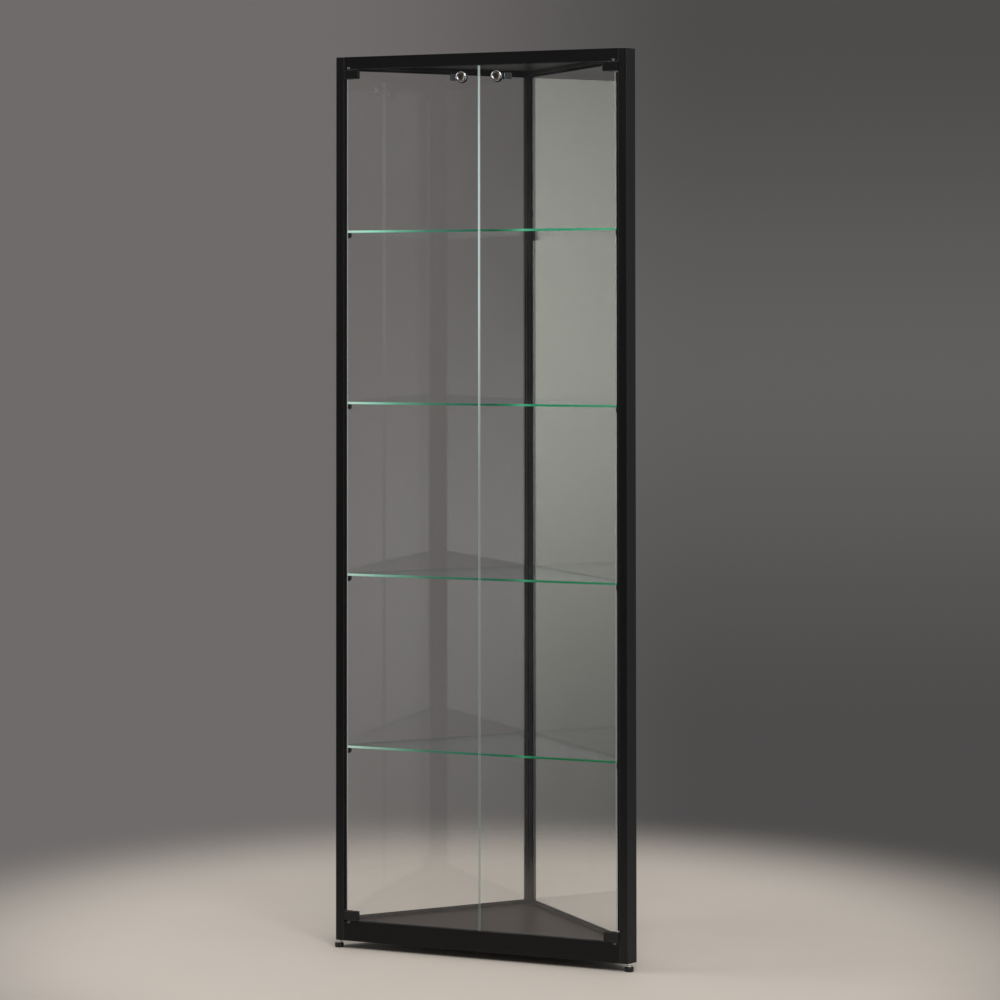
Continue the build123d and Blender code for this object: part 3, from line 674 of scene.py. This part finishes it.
def build_posts():
    bore = circle(BORE_X, BORE_Y, BORE, 40)
    for name, hand in HANDS:
        def build(bm):
            prism(bm, upright(hand), side_post_outline(), FRAME_LOW, FRAME_TOP, [bore], 0.35)
        post = piece_of("post_" + name, "frame", [POST_BLACK], build)
        carve(post, post_holes if hand > 0 else mirrored(post_holes))
    rear_bore = circle(*side(LEG - REAR_BORE, REAR_BORE), BORE, 40)

    def build_rear(bm):
        prism(bm, upright(), rear_post_outline(), FRAME_LOW, FRAME_TOP, [rear_bore], 0.35)
    rear = piece_of("post_rear", "frame", [POST_BLACK], build_rear)

    def rear_holes(bm):
        post_holes(bm)
        mirrored(post_holes)(bm)
    carve(rear, rear_holes)


SCREW_IN = 12.0


def countersinks(bm, low, hand):
    """Screw holes of a side rail (hand -1 or 1) or a front rail (hand 0)."""
    face, way = (FRAME_LOW, 1) if low else (FRAME_TOP, -1)
    inward = PLUG_Y if low else HEAD_PLUG_Y
    cone = [(0, face - way), (2.8, face - way), (2.8, face), (1.5, face + 1.3 * way),
            (1.5, face + 4 * way), (0, face + 4 * way)]
    if hand == 0:
        spots = [(s * (JAMB - SCREW_IN), inward) for s in (-1, 1)]
    else:
        spots = [side(SIDE_START + SCREW_IN, inward), side(SIDE_END - SCREW_IN, inward)]
        spots = [(hand * x, y) for x, y in spots]
    for x, y in spots:
        lathe(bm, about_z(x, y), cone, 24)
    if hand == 0:
        rail, way = (BASE_TOP, -1) if low else (HEAD_LOW, 1)
        socket = [(0, rail - way), (4.8, rail - way), (4.8, rail + 4.5 * way), (2.05, rail + 4.5 * way),
                  (2.05, rail + 9.3 * way), (0, rail + 9.3 * way)]
        for x in (-PIVOT_X, PIVOT_X):
            lathe(bm, about_z(x, PIVOT_Y), socket, 40)


def chamber(far, low, high):
    """Hollow of a rail."""
    return rounded([(WALL, low), (far, low), (far, high), (WALL, high)], 0.5, 2)


def build_rails():
    base = [(0, FRAME_LOW, 0.7), (SECTION, FRAME_LOW, 0.7), (SECTION, BASE_STEP, 0.3),
            (BASE_LEDGE, BASE_STEP, 0.2), (BASE_LEDGE, BASE_TOP, 0.6)]
    deep = BASE_TOP - RAIL_GROOVE
    groove = [(GROOVE_FAR, BASE_TOP, 0.4), (GROOVE_FAR, deep, 0.2), (GROOVE_NEAR, deep, 0.2),
              (GROOVE_NEAR, BASE_TOP, 0.4)]
    room = chamber(SECTION - WALL, FRAME_LOW + WALL, BASE_ROOM_TOP)
    close = [(0, BASE_TOP, 0.7)]
    head_room = chamber(HEAD_ROOM_FAR, HEAD_ROOM_LOW, FRAME_TOP - WALL)
    ledge = [(SECTION, HEAD_UNDER, 0.4), (HEAD_LEDGE, HEAD_UNDER, 0.2), (HEAD_LEDGE, FRAME_TOP, 0.5),
             (0, FRAME_TOP, 0.7)]
    front_head = [(0, HEAD_LOW, 0.7), (NOSE_DEEP, HEAD_LOW, 0.7), (NOSE_DEEP, NOSE_TOP, 0.4),
                  (SECTION, NOSE_TOP, 0.4)] + ledge
    deep = HEAD_LOW + RAIL_GROOVE
    side_head = [(0, HEAD_LOW, 0.7), (GROOVE_NEAR, HEAD_LOW, 0.4), (GROOVE_NEAR, deep, 0.2),
                 (GROOVE_FAR, deep, 0.2), (GROOVE_FAR, SIDE_LIP_LOW, 0.4),
                 (SECTION, SIDE_LIP_LOW, 0.6)] + ledge
    rails = [("rail_bottom_front", 0, base + close, room), ("rail_top_front", 0, front_head, head_room)]
    for name, hand in HANDS:
        rails.append(("rail_bottom_" + name, hand, base + groove + close, room))
        rails.append(("rail_top_" + name, hand, side_head, head_room))
    for name, hand, outline, hollow in rails:
        if hand == 0:
            place, low, high = crosswise, -JAMB, JAMB
        else:
            place, low, high = on_side(hand), SIDE_START, SIDE_END

        def build(bm):
            prism(bm, place, rounded(outline), low, high, [hollow], 0.25)
        rail = piece_of(name, "frame", [RAIL_BLACK], build)
        carve(rail, lambda bm: countersinks(bm, "bottom" in name, hand))


# ---- boards and side glazing
def plan_board(front, side_in, half_x, rear):
    reach = REAR_Y - side_in * ROOT2
    half = [(half_x, front), (half_x, reach - half_x), (reach - rear, rear)]
    return half + [(-x, y) for x, y in reversed(half)]


BOARD_HALF, BOARD_REAR, BOARD_GAP = box_mm("base_panel")[1].x, 345.9, 0.5


def build_boards():
    for name, slot, material, ledge in (("base_panel", "base_board", BASE_LAMINATE, BASE_LEDGE),
                                        ("top_panel", "top_board", TOP_LAMINATE_PAINTED_COOL, HEAD_LEDGE)):
        low, high = (c.z for c in box_mm(name))
        inset = ledge + BOARD_GAP
        outline = rounded(plan_board(inset, inset, BOARD_HALF, BOARD_REAR), 0.6)
        piece_of(name, "frame", [material],
                 lambda bm: prism(bm, upright(), outline, low, high, (), 0.5))


GASKET_U = (SIDE_START - POST_GROOVE, SIDE_END + POST_GROOVE)
GASKET_Z = (BASE_TOP - RAIL_GROOVE, HEAD_LOW + RAIL_GROOVE)
GASKET = 0.5  # rubber between groove and glass


def gasket_ring(bm, hand):
    """Rubber channel swept round a pane with mitred corners; lips lean on the glass."""
    lip = [(0.0, 0.0), (0.0, 6.6), (-0.35, 7.1), (-0.3, 7.6), (0.1, 7.75), (GASKET, 7.5),
           (GASKET, GASKET)]
    section = [(GROOVE_FAR - a, w) for a, w in lip] + [(GROOVE_NEAR + a, w) for a, w in reversed(lip)]
    place = in_side(hand)
    rows = []
    for v, w in section:
        wu = w - 1.0 if w > 3 else w
        corners = [
            (GASKET_U[0] + wu, GASKET_Z[0] + w), (GASKET_U[1] - wu, GASKET_Z[0] + w),
            (GASKET_U[1] - wu, GASKET_Z[1] - w), (GASKET_U[0] + wu, GASKET_Z[1] - w),
        ]
        rows.append([bm.verts.new(to_frame(place(u, z, v))) for u, z in corners])
    for i, row in enumerate(rows):
        for k in range(4):
            bm.faces.new((rows[i - 1][k - 1], rows[i - 1][k], row[k], row[k - 1]))


BULB_X = JAMB - 3.3


def seal_outline():
    """Bulb seal: foot against the post, hollow bulb towards the door edge."""
    bulb = arc(BULB_X, 5.5, 2.3, math.radians(75), math.radians(285), 14)
    foot = ((JAMB - 1.15, 3.15), (JAMB, 3.05), (JAMB, 7.95), (JAMB - 1.15, 7.85))
    return [Vector(p[:2]) for p in bulb] + [Vector(p) for p in foot]


def build_glazing():
    for name, hand in HANDS:
        (u0, u1), (z0, z1) = ((low + GASKET, high - GASKET) for low, high in (GASKET_U, GASKET_Z))
        outline = rounded([(u0, z0), (u1, z0), (u1, z1), (u0, z1)], 1.0)
        piece_of("pane_" + name, "frame", [SIDE_GLASS, PANE_EDGE],
                 lambda bm: prism(bm, in_side(hand), outline, GROOVE_NEAR + GASKET,
                                  GROOVE_FAR - GASKET, (), 0.4, 0, 1))
        piece_of("gasket_" + name, "frame", [RUBBER],
                 lambda bm: gasket_ring(bm, hand), weighted=False)
        low, high = (c.z for c in box_mm("seal_" + name))
        piece_of("seal_" + name, "frame", [RUBBER],
                 lambda bm: prism(bm, upright(hand), seal_outline(), low, high,
                                  [circle(BULB_X, 5.5, 1.4, 20)], 0.2))


# ---- doors
PIVOT_X, PIVOT_Y = JAMB - 10.75, 3.0
DOOR_SIDE = box_mm("door_right_glass")[1].x
BLOCK_IN = box_mm("door_right_hinges")[0].x
BLOCK_CORE = BLOCK_IN + 14.3
GRUB_X = BLOCK_IN + 6.5
LOCK_X, LOCK_Z, LOCK_HOLE = 41.0, 1932.0, 10.0
CAM_NEAR, CAM_FAR = 13.0, 15.5  # behind the front plane
HINGE_TALL = 20.2
HINGE_HIGH = 1955.0  # top of the upper blocks
HINGE_BASES = (64.0, HINGE_HIGH - HINGE_TALL)
DOOR_LOW, DOOR_TOP, DOOR_MEET, DOOR_THICK = 63.0, 1956.2, 1.0, 5.0
NOTCH_GAP = 0.3  # between the glass and a hinge block


def edge_faces(bm):
    """The wall faces of a pane, their normals up to date."""
    bm.normal_update()
    return [f for f in bm.faces if f.material_index == 1]


def door_outline():
    notch = BLOCK_CORE - NOTCH_GAP
    upper, lower = HINGE_BASES[1] - NOTCH_GAP, HINGE_BASES[0] + HINGE_TALL + NOTCH_GAP
    return rounded([
        (DOOR_MEET, DOOR_LOW, 0.8), (notch, DOOR_LOW, 0.8), (notch, lower, 2.0),
        (DOOR_SIDE, lower, 0.8), (DOOR_SIDE, upper, 0.8), (notch, upper, 2.0),
        (notch, DOOR_TOP, 0.8), (DOOR_MEET, DOOR_TOP, 0.8),
    ])


def hinge_outline():
    """Clamp section: slot for the glass, round nose about the pivot, flat stop behind."""
    front, back, round_nose, stop = -3.0, 8.0, 10.4, JAMB - 0.1
    nose = arc(PIVOT_X, PIVOT_Y, round_nose, math.asin((front - PIVOT_Y) / round_nose), 0.0, 8)
    points = [(BLOCK_IN, front, 0.8), (PIVOT_X, front, 0)] + nose
    points += [(stop, PIVOT_Y, 0.1), (stop, back, 0.5), (BLOCK_IN, back, 0.8)]
    points += [(BLOCK_IN, DOOR_THICK, 0.3), (BLOCK_CORE, DOOR_THICK, 0.2), (BLOCK_CORE, 0.0, 0.2)]
    points += [(BLOCK_IN, 0.0, 0.3)]
    return rounded(points)


def build_doors():
    for name, hand in HANDS:
        body = "door_" + name
        hole = circle(LOCK_X, LOCK_Z, LOCK_HOLE)

        def pane(bm):
            prism(bm, facing(hand), door_outline(), 0.0, DOOR_THICK, [hole], 0.5, 0, 1)
            # top and bottom edges take the painted shade, the hinge-side edges the painted highlight
            for f in edge_faces(bm):
                if abs(f.normal.x) < abs(f.normal.z):
                    f.material_index = 3
                elif abs(f.calc_center_median().x) > 0.1:
                    f.material_index = 2
        piece_of(body + "_glass", body, [DOOR_GLASS, MEET_EDGE_PAINTED_GLOW, JAMB_EDGE_PAINTED_HIGHLIGHT, END_EDGE_PAINTED_SHADE],
                 pane)

        def blocks(bm):
            for z in HINGE_BASES:
                prism(bm, upright(hand), hinge_outline(), z, z + HINGE_TALL,
                      [circle(PIVOT_X, PIVOT_Y, 2.0, 24)], 0.6)
        hinges = piece_of(body + "_hinges", body, [HINGE_BLACK], blocks)
        middles = [z + HINGE_TALL / 2 + s for z in HINGE_BASES for s in (-5.0, 5.0)]

        def grub_holes(bm):
            rows = [(0, 4.0), (1.5, 4.0), (1.5, 7.6), (2.1, 8.2), (2.1, 9.0), (0, 9.0)]
            for z in middles:
                lathe(bm, about_y(hand * GRUB_X, z), rows, 24)
        carve(hinges, grub_holes)

        def grubs(bm):
            hexr = hexagon(1.5)
            rows = [(0, 5.05), (1.1, 5.05), (1.45, 5.4), (1.45, 7.5), (1.2, 7.8), (hexr, 7.8),
                    (hexr, 6.0), (0, 5.8)]
            for z in middles:
                lathe(bm, about_y(hand * GRUB_X, z), rows, 24)
        piece_of(body + "_hinge_screws", body, [SCREW_ZINC], grubs)

        def pins(bm):
            for z, up in ((HINGE_BASES[0], -1), (HINGE_HIGH, 1)):
                rows = [(0, -19.2), (1.6, -19.2), (2.0, -18.8), (2.0, 2.15), (4.35, 2.15), (4.75, 2.55),
                        (4.75, 6.05), (4.35, 6.45), (2.0, 6.45), (2.0, 10.4), (1.5, 11.0), (0, 11.0)]
                lathe(bm, about_z(hand * PIVOT_X, PIVOT_Y), [(r, z + up * h) for r, h in rows], 36)
        piece_of(body + "_pins", body, [PIN_STEEL], pins)


def build_locks():
    for name, hand in HANDS:
        door, lock = "door_" + name, "lock_" + name
        x = hand * LOCK_X
        about = about_y(x, LOCK_Z)

        def housing(bm):
            rows = [(7.05, -0.85), (7.05, -1.7), (7.5, -2.35), (8.1, -2.6), (8.6, -2.95), (9.4, -3.0),
                    (10.6, -2.75), (11.5, -2.1), (11.9, -1.3), (12.0, -0.5), (11.8, -0.02),
                    (9.6, -0.02), (9.3, 0.4)]
            rows += thread(9.75, 0.5, 12.0, 1.0, 0.55)
            rows += [(9.0, 12.4), (6.05, 12.4), (6.05, -0.85)]
            lathe(bm, about, rows, 60)
        piece_of(lock + "_body", door, [CHROME], housing)

        def nut(bm):
            ring = circle(x, LOCK_Z, 13.5, 96)
            for p in ring:
                p.x = max(x - 12.0, min(x + 12.0, p.x))
            prism(bm, facing(), ring, DOOR_THICK, 10.0, [circle(x, LOCK_Z, 9.78, 60)], 0.6)
        piece_of(lock + "_nut", door, [NUT_BLACK], nut)

        def plug(bm):
            rows = [(0, -2.35), (4.6, -2.35), (5.0, -2.6), (6.6, -2.6), (7.0, -2.2), (7.0, -0.9),
                    (6.0, -0.9), (6.0, 12.6), (5.7, 12.9), (0, 12.9)]
            lathe(bm, about, rows, 60)
        core = piece_of(lock + "_plug", lock, [PLUG_CHROME_PAINTED_WARM], plug)

        half = 3.5
        square = [(-half, -half), (half, -half), (half, half), (-half, half)]

        def keyway(bm):
            blade = [(-0.8, -3.6), (0.8, -3.6), (0.8, -0.7), (0.25, -0.3), (0.25, 0.9), (0.8, 1.3),
                     (0.8, 3.6), (-0.8, 3.6), (-0.8, 1.0), (-0.8, 0.2)]
            ring = [Vector((x + a, LOCK_Z + b)) for a, b in blade]
            prism(bm, facing(), ring, -4.0, 4.4, (), 0.01)
        carve(core, keyway)
        tail = [p + Vector((x, LOCK_Z)) for p in rounded(square, 0.5)]
        bm = bmesh.new()
        bm.from_mesh(core.data)
        prism(bm, facing(), tail, CAM_NEAR - 0.15, CAM_FAR, [circle(x, LOCK_Z, 2.0, 24)], 0.2)
        bmesh.ops.recalc_face_normals(bm, faces=bm.faces)
        bm.to_mesh(core.data)
        bm.free()
        shade(core)

        def cam(bm):
            reach, wide = 31.0, 8.0
            end = [(reach - 2, -wide, 0.5), (reach, 2 - wide, 0.5), (reach, wide - 2, 0.5),
                   (reach - 2, wide, 0.5)]
            back = arc(0, 0, wide, math.radians(90), math.radians(270), 18)
            ring = [Vector((x + hand * p.x, LOCK_Z + p.y)) for p in rounded(end + back)]
            hole = [p + Vector((x, LOCK_Z)) for p in rounded(square, 0.4)]
            prism(bm, facing(), ring, CAM_NEAR, CAM_FAR, [hole], 0.35)
        piece_of(lock + "_cam", lock, [CHROME], cam)

        def cam_screw(bm):
            socket = hexagon(2.0)
            rows = [(0, 8.2), (1.6, 8.2), (1.95, 8.6), (1.95, CAM_FAR), (3.8, CAM_FAR), (4.0, 15.8),
                    (4.0, 16.7), (3.4, 17.5), (2.6, 17.7), (socket, 17.7), (socket, 16.3), (0, 16.1)]
            lathe(bm, about, rows, 36)
        piece_of(lock + "_cam_screw", lock, [SCREW_ZINC], cam_screw)


# ---- shelves
BEARER_SCREW = 6.0  # below the shelf


def bearer_places(under):
    """Local bearer coordinates (out of the slot, across, up) at the three posts."""
    return [
        lambda a, b, t: (-JAMB + a, SLOT_Y + t, under + b),
        lambda a, b, t: (JAMB - a, SLOT_Y + t, under + b),
        lambda a, b, t: (t, REAR_FLAT - a, under + b),
    ]


SHELF_HALF, SHELF_REAR = box_mm("shelf_1_glass")[1].x, 346.9


def build_shelves():
    for number in range(1, 5):
        body = "shelf_%d" % number
        under, top = (c.z for c in box_mm(body + "_glass"))
        outline = rounded(plan_board(12.0, 14.5, SHELF_HALF, SHELF_REAR), 1.0)

        def pane(bm):
            prism(bm, upright(), outline, under, top, (), 0.5, 0, 1)
            for f in edge_faces(bm):
                if f.calc_center_median().y > (FRONT + 13.0) * MM:
                    f.material_index = 2
        piece_of(body + "_glass", body, [SHELF_GLASS, SHELF_FRONT_PAINTED_LIGHT, SHELF_BACK], pane)

        def bearers(bm):
            arm = rounded([(0, -12), (7.75, -12, 1.0), (10.75, -9, 1.0), (10.75, 0, 0.5), (0, 0)], 0.15)
            foot = [(0, 1.75), (-1.25, 1.75), (-1.25, 2.75), (-3.2, 2.75), (-3.2, -2.75),
                    (-1.25, -2.75), (-1.25, -1.75), (0, -1.75)]
            foot = [Vector(p) for p in foot]
            for place in bearer_places(under):
                prism(bm, place, arm, -4.0, 4.0, (), 0.4)
                prism(bm, lambda a, b, t: place(a, t, b), foot, -11.0, -1.0, (), 0.1)
        made = piece_of(body + "_bearers", body, [HINGE_BLACK], bearers)

        def holes(bm):
            for place in bearer_places(under):
                rows = [(0, 3.0), (1.5, 3.0), (1.5, 10.3), (2.0, 10.8), (2.0, 12.0), (0, 12.0)]
                lathe(bm, lambda a, b, t: place(t, b - BEARER_SCREW, a), rows, 24)
        carve(made, holes)

        def screws(bm):
            hexr = hexagon(1.5)
            rows = [(0, 3.1), (1.1, 3.1), (1.45, 3.5), (1.45, 9.0), (1.2, 9.25), (hexr, 9.25),
                    (hexr, 7.3), (0, 7.1)]
            for place in bearer_places(under):
                lathe(bm, lambda a, b, t: place(t, b - BEARER_SCREW, a), rows, 24)
        piece_of(body + "_screws", body, [SCREW_ZINC], screws)


# ---- feet and small hardware
FEET = {"left": (-BORE_X, BORE_Y), "right": (BORE_X, BORE_Y), "rear": side(LEG - REAR_BORE, REAR_BORE)}


def at_feet(name, material, rows, segments):
    """One piece of equal turned solids in line with the three feet."""
    def build(bm):
        for x, y in FEET.values():
            lathe(bm, about_z(x, y), rows, segments)
    piece_of(name, "frame", [material], build)


def build_feet():
    flats, bevel = hexagon(13.0), hexagon(13.0, 6.85)
    for name, (x, y) in FEET.items():
        about = about_z(x, y)

        def pad(bm):
            rows = [(0, 0.9), (3.0, 0.9), (3.6, 0.3), (5.2, 0.3), (5.6, 0.7), (6.4, 0.7), (6.8, 0.0),
                    (9.4, 0.0), (9.85, 0.25), (10.0, 0.7), (10.0, 7.3), (9.8, 8.3), (9.2, 9.2),
                    (8.4, 9.9), (7.4, 10.35), (6.4, 10.5), (4.8, 10.5), (4.3, 10.3), (4.05, 9.9),
                    (4.05, 5.05), (5.55, 5.05), (5.55, 2.95), (0, 2.95)]
            lathe(bm, about, rows, 60)
        piece_of("foot_%s_pad" % name, "foot_" + name, [FOOT_BLACK], pad)

        def stem(bm):
            low, top = 10.6, 12.6
            rows = [(0, 3.0), (5.2, 3.0), (5.5, 3.3), (5.5, 4.7), (5.2, 5.0), (3.9, 5.0), (3.9, low),
                    (6.1, low), (bevel, low + 0.15), (flats, low + 0.5), (flats, top - 0.5),
                    (bevel, top - 0.15), (6.1, top), (3.5, top)]
            rows += thread(4.0, top + 0.2, 51.2, 1.0, 0.55)
            rows += [(3.2, 52.0), (0, 52.0)]
            lathe(bm, about, rows, 48)
        piece_of("foot_%s_stem" % name, "foot_%s_screw" % name, [ZINC], stem)

    low, top = 14.7, 17.2
    at_feet("foot_locknuts", ZINC, [
        (4.1, low + 0.4), (4.5, low), (6.1, low), (bevel, low + 0.15), (flats, low + 0.5),
        (flats, top - 0.5), (bevel, top - 0.15), (6.1, top), (4.5, top), (4.1, top - 0.4),
    ], 48)
    at_feet("foot_bushes", ZINC, [
        (4.1, 17.2), (6.7, 17.2), (7.0, 17.5), (7.0, 17.98), (5.2, 17.98), (5.2, 37.4),
        (4.9, 38.0), (4.1, 38.0),
    ], 48)
    z = FRAME_TOP
    at_feet("post_caps", PLASTIC, [
        (0, z - 12), (4.6, z - 12), (5.2, z - 11.2), (5.2, z - 0.5), (4.9, z), (4.3, z),
        (4.0, z - 0.35), (1.2, z - 0.35), (0.9, z - 0.1), (0, z - 0.05),
    ], 40)


def build_frame_screws():
    def screws(bm):
        for low in (True, False):
            face, way = (FRAME_LOW, 1) if low else (FRAME_TOP, -1)
            inward = PLUG_Y if low else HEAD_PLUG_Y
            places = [(s * (JAMB - SCREW_IN), inward) for s in (-1, 1)]
            for u in (SIDE_START + SCREW_IN, SIDE_END - SCREW_IN):
                x, y = side(u, inward)
                places += [(x, y), (-x, y)]
            socket = hexagon(2.0)
            rows = [(0, 1.1), (socket, 1.0), (socket, 0.08), (1.35, 0.0), (2.6, 0.02), (2.72, 0.12),
                    (1.45, 1.32)]
            rows += thread(1.45, 1.4, 11.4, 0.5, 0.22)
            rows += [(1.0, 12.0), (0, 12.0)]
            for x, y in places:
                lathe(bm, about_z(x, y), [(r, face + way * h) for r, h in rows], 24)
    piece_of("frame_screws", "frame", [SCREW_ZINC], screws)


def build_plugs():
    """Corner plugs inside the rails keep their CAD shape and take the moulded plastic."""
    for name in ("corner_plugs_bottom", "corner_plugs_top"):
        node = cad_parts[name]
        node.data.materials.clear()
        node.data.materials.append(PLASTIC)


build_posts()
build_rails()
build_boards()
build_glazing()
build_doors()
build_locks()
build_shelves()
build_feet()
build_frame_screws()
build_plugs()


# ---- floor, backdrop, light
def build_floor():
    bm = bmesh.new()
    rows = [(400.0 * k, 0.0) for k in range(11)]
    lathe(bm, lambda a, b, t: (a, b - FRONT, -0.05), rows, 96)
    mesh = bpy.data.meshes.new("floor")
    flat = [f for f in bm.faces if len(set(f.verts)) < 3]
    bmesh.ops.delete(bm, geom=flat, context="FACES")
    bm.to_mesh(mesh)
    bm.free()
    floor = bpy.data.objects.new("floor", mesh)
    bpy.context.scene.collection.objects.link(floor)
    net = Net("floor")
    where = net.add("ShaderNodeNewGeometry")
    flat_xy = net.vector("MULTIPLY", where.outputs["Position"], (1, 1, 0))
    far = net.vector("LENGTH", flat_xy)
    away = net.remap(far.outputs["Value"], 0.75, 1.75, shape="SMOOTHERSTEP")
    pale = net.add("ShaderNodeBsdfPrincipled", {
        "Base Color": net.mix(net.noise(3.0, 2.0), (0.79, 0.705, 0.62), (0.84, 0.755, 0.67)),
        "Roughness": 0.45,
    })
    gone = net.add("ShaderNodeBsdfTransparent")
    mesh.materials.append(net.surface(net.add("ShaderNodeMixShader", {0: away, 1: pale, 2: gone})))


def build_world():
    world = bpy.data.worlds.new("studio")
    bpy.context.scene.world = world
    world.use_nodes = True
    net = Net("", world.node_tree)
    # what the camera sees: a plain grey backdrop with painted light falloff, a little lighter to the
    # left and darker above and below on the right
    frame_place = net.add("ShaderNodeTexCoord").outputs["Window"]
    split = net.add("ShaderNodeSeparateXYZ", {0: frame_place})
    across = net.remap(split, 0.3, 0.72, shape="SMOOTHSTEP")
    from_middle = net.math("ABSOLUTE", net.minus(split.outputs[1], 0.62))
    high = net.remap(from_middle, 0.0, 0.36, shape="SMOOTHSTEP")
    right = net.mix(high, (0.118, 0.113, 0.110), (0.075, 0.072, 0.071))
    seen = net.mix(across, (0.158, 0.147, 0.144), right)
    # what lights and reflections see: a dim room with broad soft panels
    direction = net.add("ShaderNodeTexCoord").outputs["Generated"]
    parts = net.add("ShaderNodeSeparateXYZ", {0: direction})

    def panel(aim, flat_width, tall_width, strength):
        """Soft panel centred on a direction; widths are in direction units."""
        total = None
        for axis, width in ((0, flat_width), (1, flat_width), (2, tall_width)):
            gap = net.math("DIVIDE", net.minus(parts.outputs[axis], aim[axis]), width)
            square = net.times(gap, gap)
            total = square if total is None else net.plus(total, square)
        return net.times(net.math("EXPONENT", net.times(total, -1.0)), strength)

    window = panel((-0.94, 0.33, 0.0), 0.36, 0.125, 1.5)
    level = net.plus(window, 0.07)
    for aim, flat_width, tall_width, strength in (
        ((0.91, 0.41, 0.0), 0.30, 0.6, 0.50),
        ((0.72, -0.69, -0.02), 0.16, 0.20, 2.2),
        ((0.1, 0.1, 1.0), 0.7, 0.5, 0.9),
        ((-0.75, -0.55, 0.45), 0.25, 0.30, 0.35),
        ((-0.36, 0.93, 0.02), 0.30, 0.30, 0.075),
        ((0.96, -0.30, -0.09), 0.08, 0.075, 1.0),
    ):
        level = net.plus(level, panel(aim, flat_width, tall_width, strength))
    above = net.remap(parts.outputs[2], -0.40, -0.10, shape="SMOOTHSTEP")
    green = net.plus(level, net.times(window, 0.06))
    blue = net.minus(level, net.times(window, 0.09))
    sky = net.add("ShaderNodeCombineXYZ", {0: level, 1: green, 2: blue})
    ground = net.mix(above, (0.16, 0.15, 0.14), sky)
    camera_ray = net.add("ShaderNodeLightPath").outputs["Is Camera Ray"]
    back = net.add("ShaderNodeBackground", {"Color": seen})
    room = net.add("ShaderNodeBackground", {"Color": ground})
    mixed = net.add("ShaderNodeMixShader", {0: camera_ray, 1: room, 2: back})
    net.add("ShaderNodeOutputWorld", {"Surface": mixed})


def area_light(name, place, aim, width, height, power):
    lamp = bpy.data.lights.new(name, "AREA")
    lamp.shape = "RECTANGLE"
    lamp.size = width
    lamp.size_y = height
    lamp.energy = power
    holder = bpy.data.objects.new(name, lamp)
    bpy.context.scene.collection.objects.link(holder)
    holder.location = place
    holder.rotation_euler = (Vector(aim) - Vector(place)).to_track_quat("-Z", "Y").to_euler()


PHOTO_CAMERA = Vector((2.01776, -5.90597 + FRONT * MM, 1.41834))
PHOTO_TILT = (91.1557, 0.0, 20.8087)
PHOTO_LENS = 102.399
PHOTO_SHIFT = {"shift_x": 0.11794, "shift_y": -0.24720}


def build_camera():
    data = bpy.data.cameras.new("camera")
    data.sensor_width = 36.0
    data.lens = PHOTO_LENS
    data.clip_start, data.clip_end = 0.05, 60.0
    camera = bpy.data.objects.new("camera", data)
    station = bpy.data.objects.new("camera_station", None)
    for thing in (camera, station):
        bpy.context.scene.collection.objects.link(thing)
        thing.location = PHOTO_CAMERA
    camera.rotation_euler = [math.radians(a) for a in PHOTO_TILT]
    bpy.context.scene.camera = camera
    # the lens shift belongs to this station only: it falls to nothing as the camera leaves it
    for path, amount in PHOTO_SHIFT.items():
        curve = data.driver_add(path)
        gap = curve.driver.variables.new()
        gap.type = "LOC_DIFF"
        gap.targets[0].id = camera
        gap.targets[1].id = station
        curve.driver.type = "SUM"
        while curve.modifiers:
            curve.modifiers.remove(curve.modifiers[0])
        while curve.keyframe_points:
            curve.keyframe_points.remove(curve.keyframe_points[0])
        for distance, value in ((0.0, amount), (0.1, 0.0)):
            curve.keyframe_points.insert(distance, value).interpolation = "LINEAR"


build_floor()
build_world()
area_light("key", (1.6, -2.6, 3.4), (0, 0, 0.9), 1.8, 1.8, 70.0)
area_light("fill", (-2.6, -1.2, 2.6), (0, 0, 0.8), 1.6, 2.2, 25.0)
build_camera()
bpy.context.scene.view_settings.view_transform = "Standard"
bpy.context.scene.cycles.transparent_max_bounces = 40
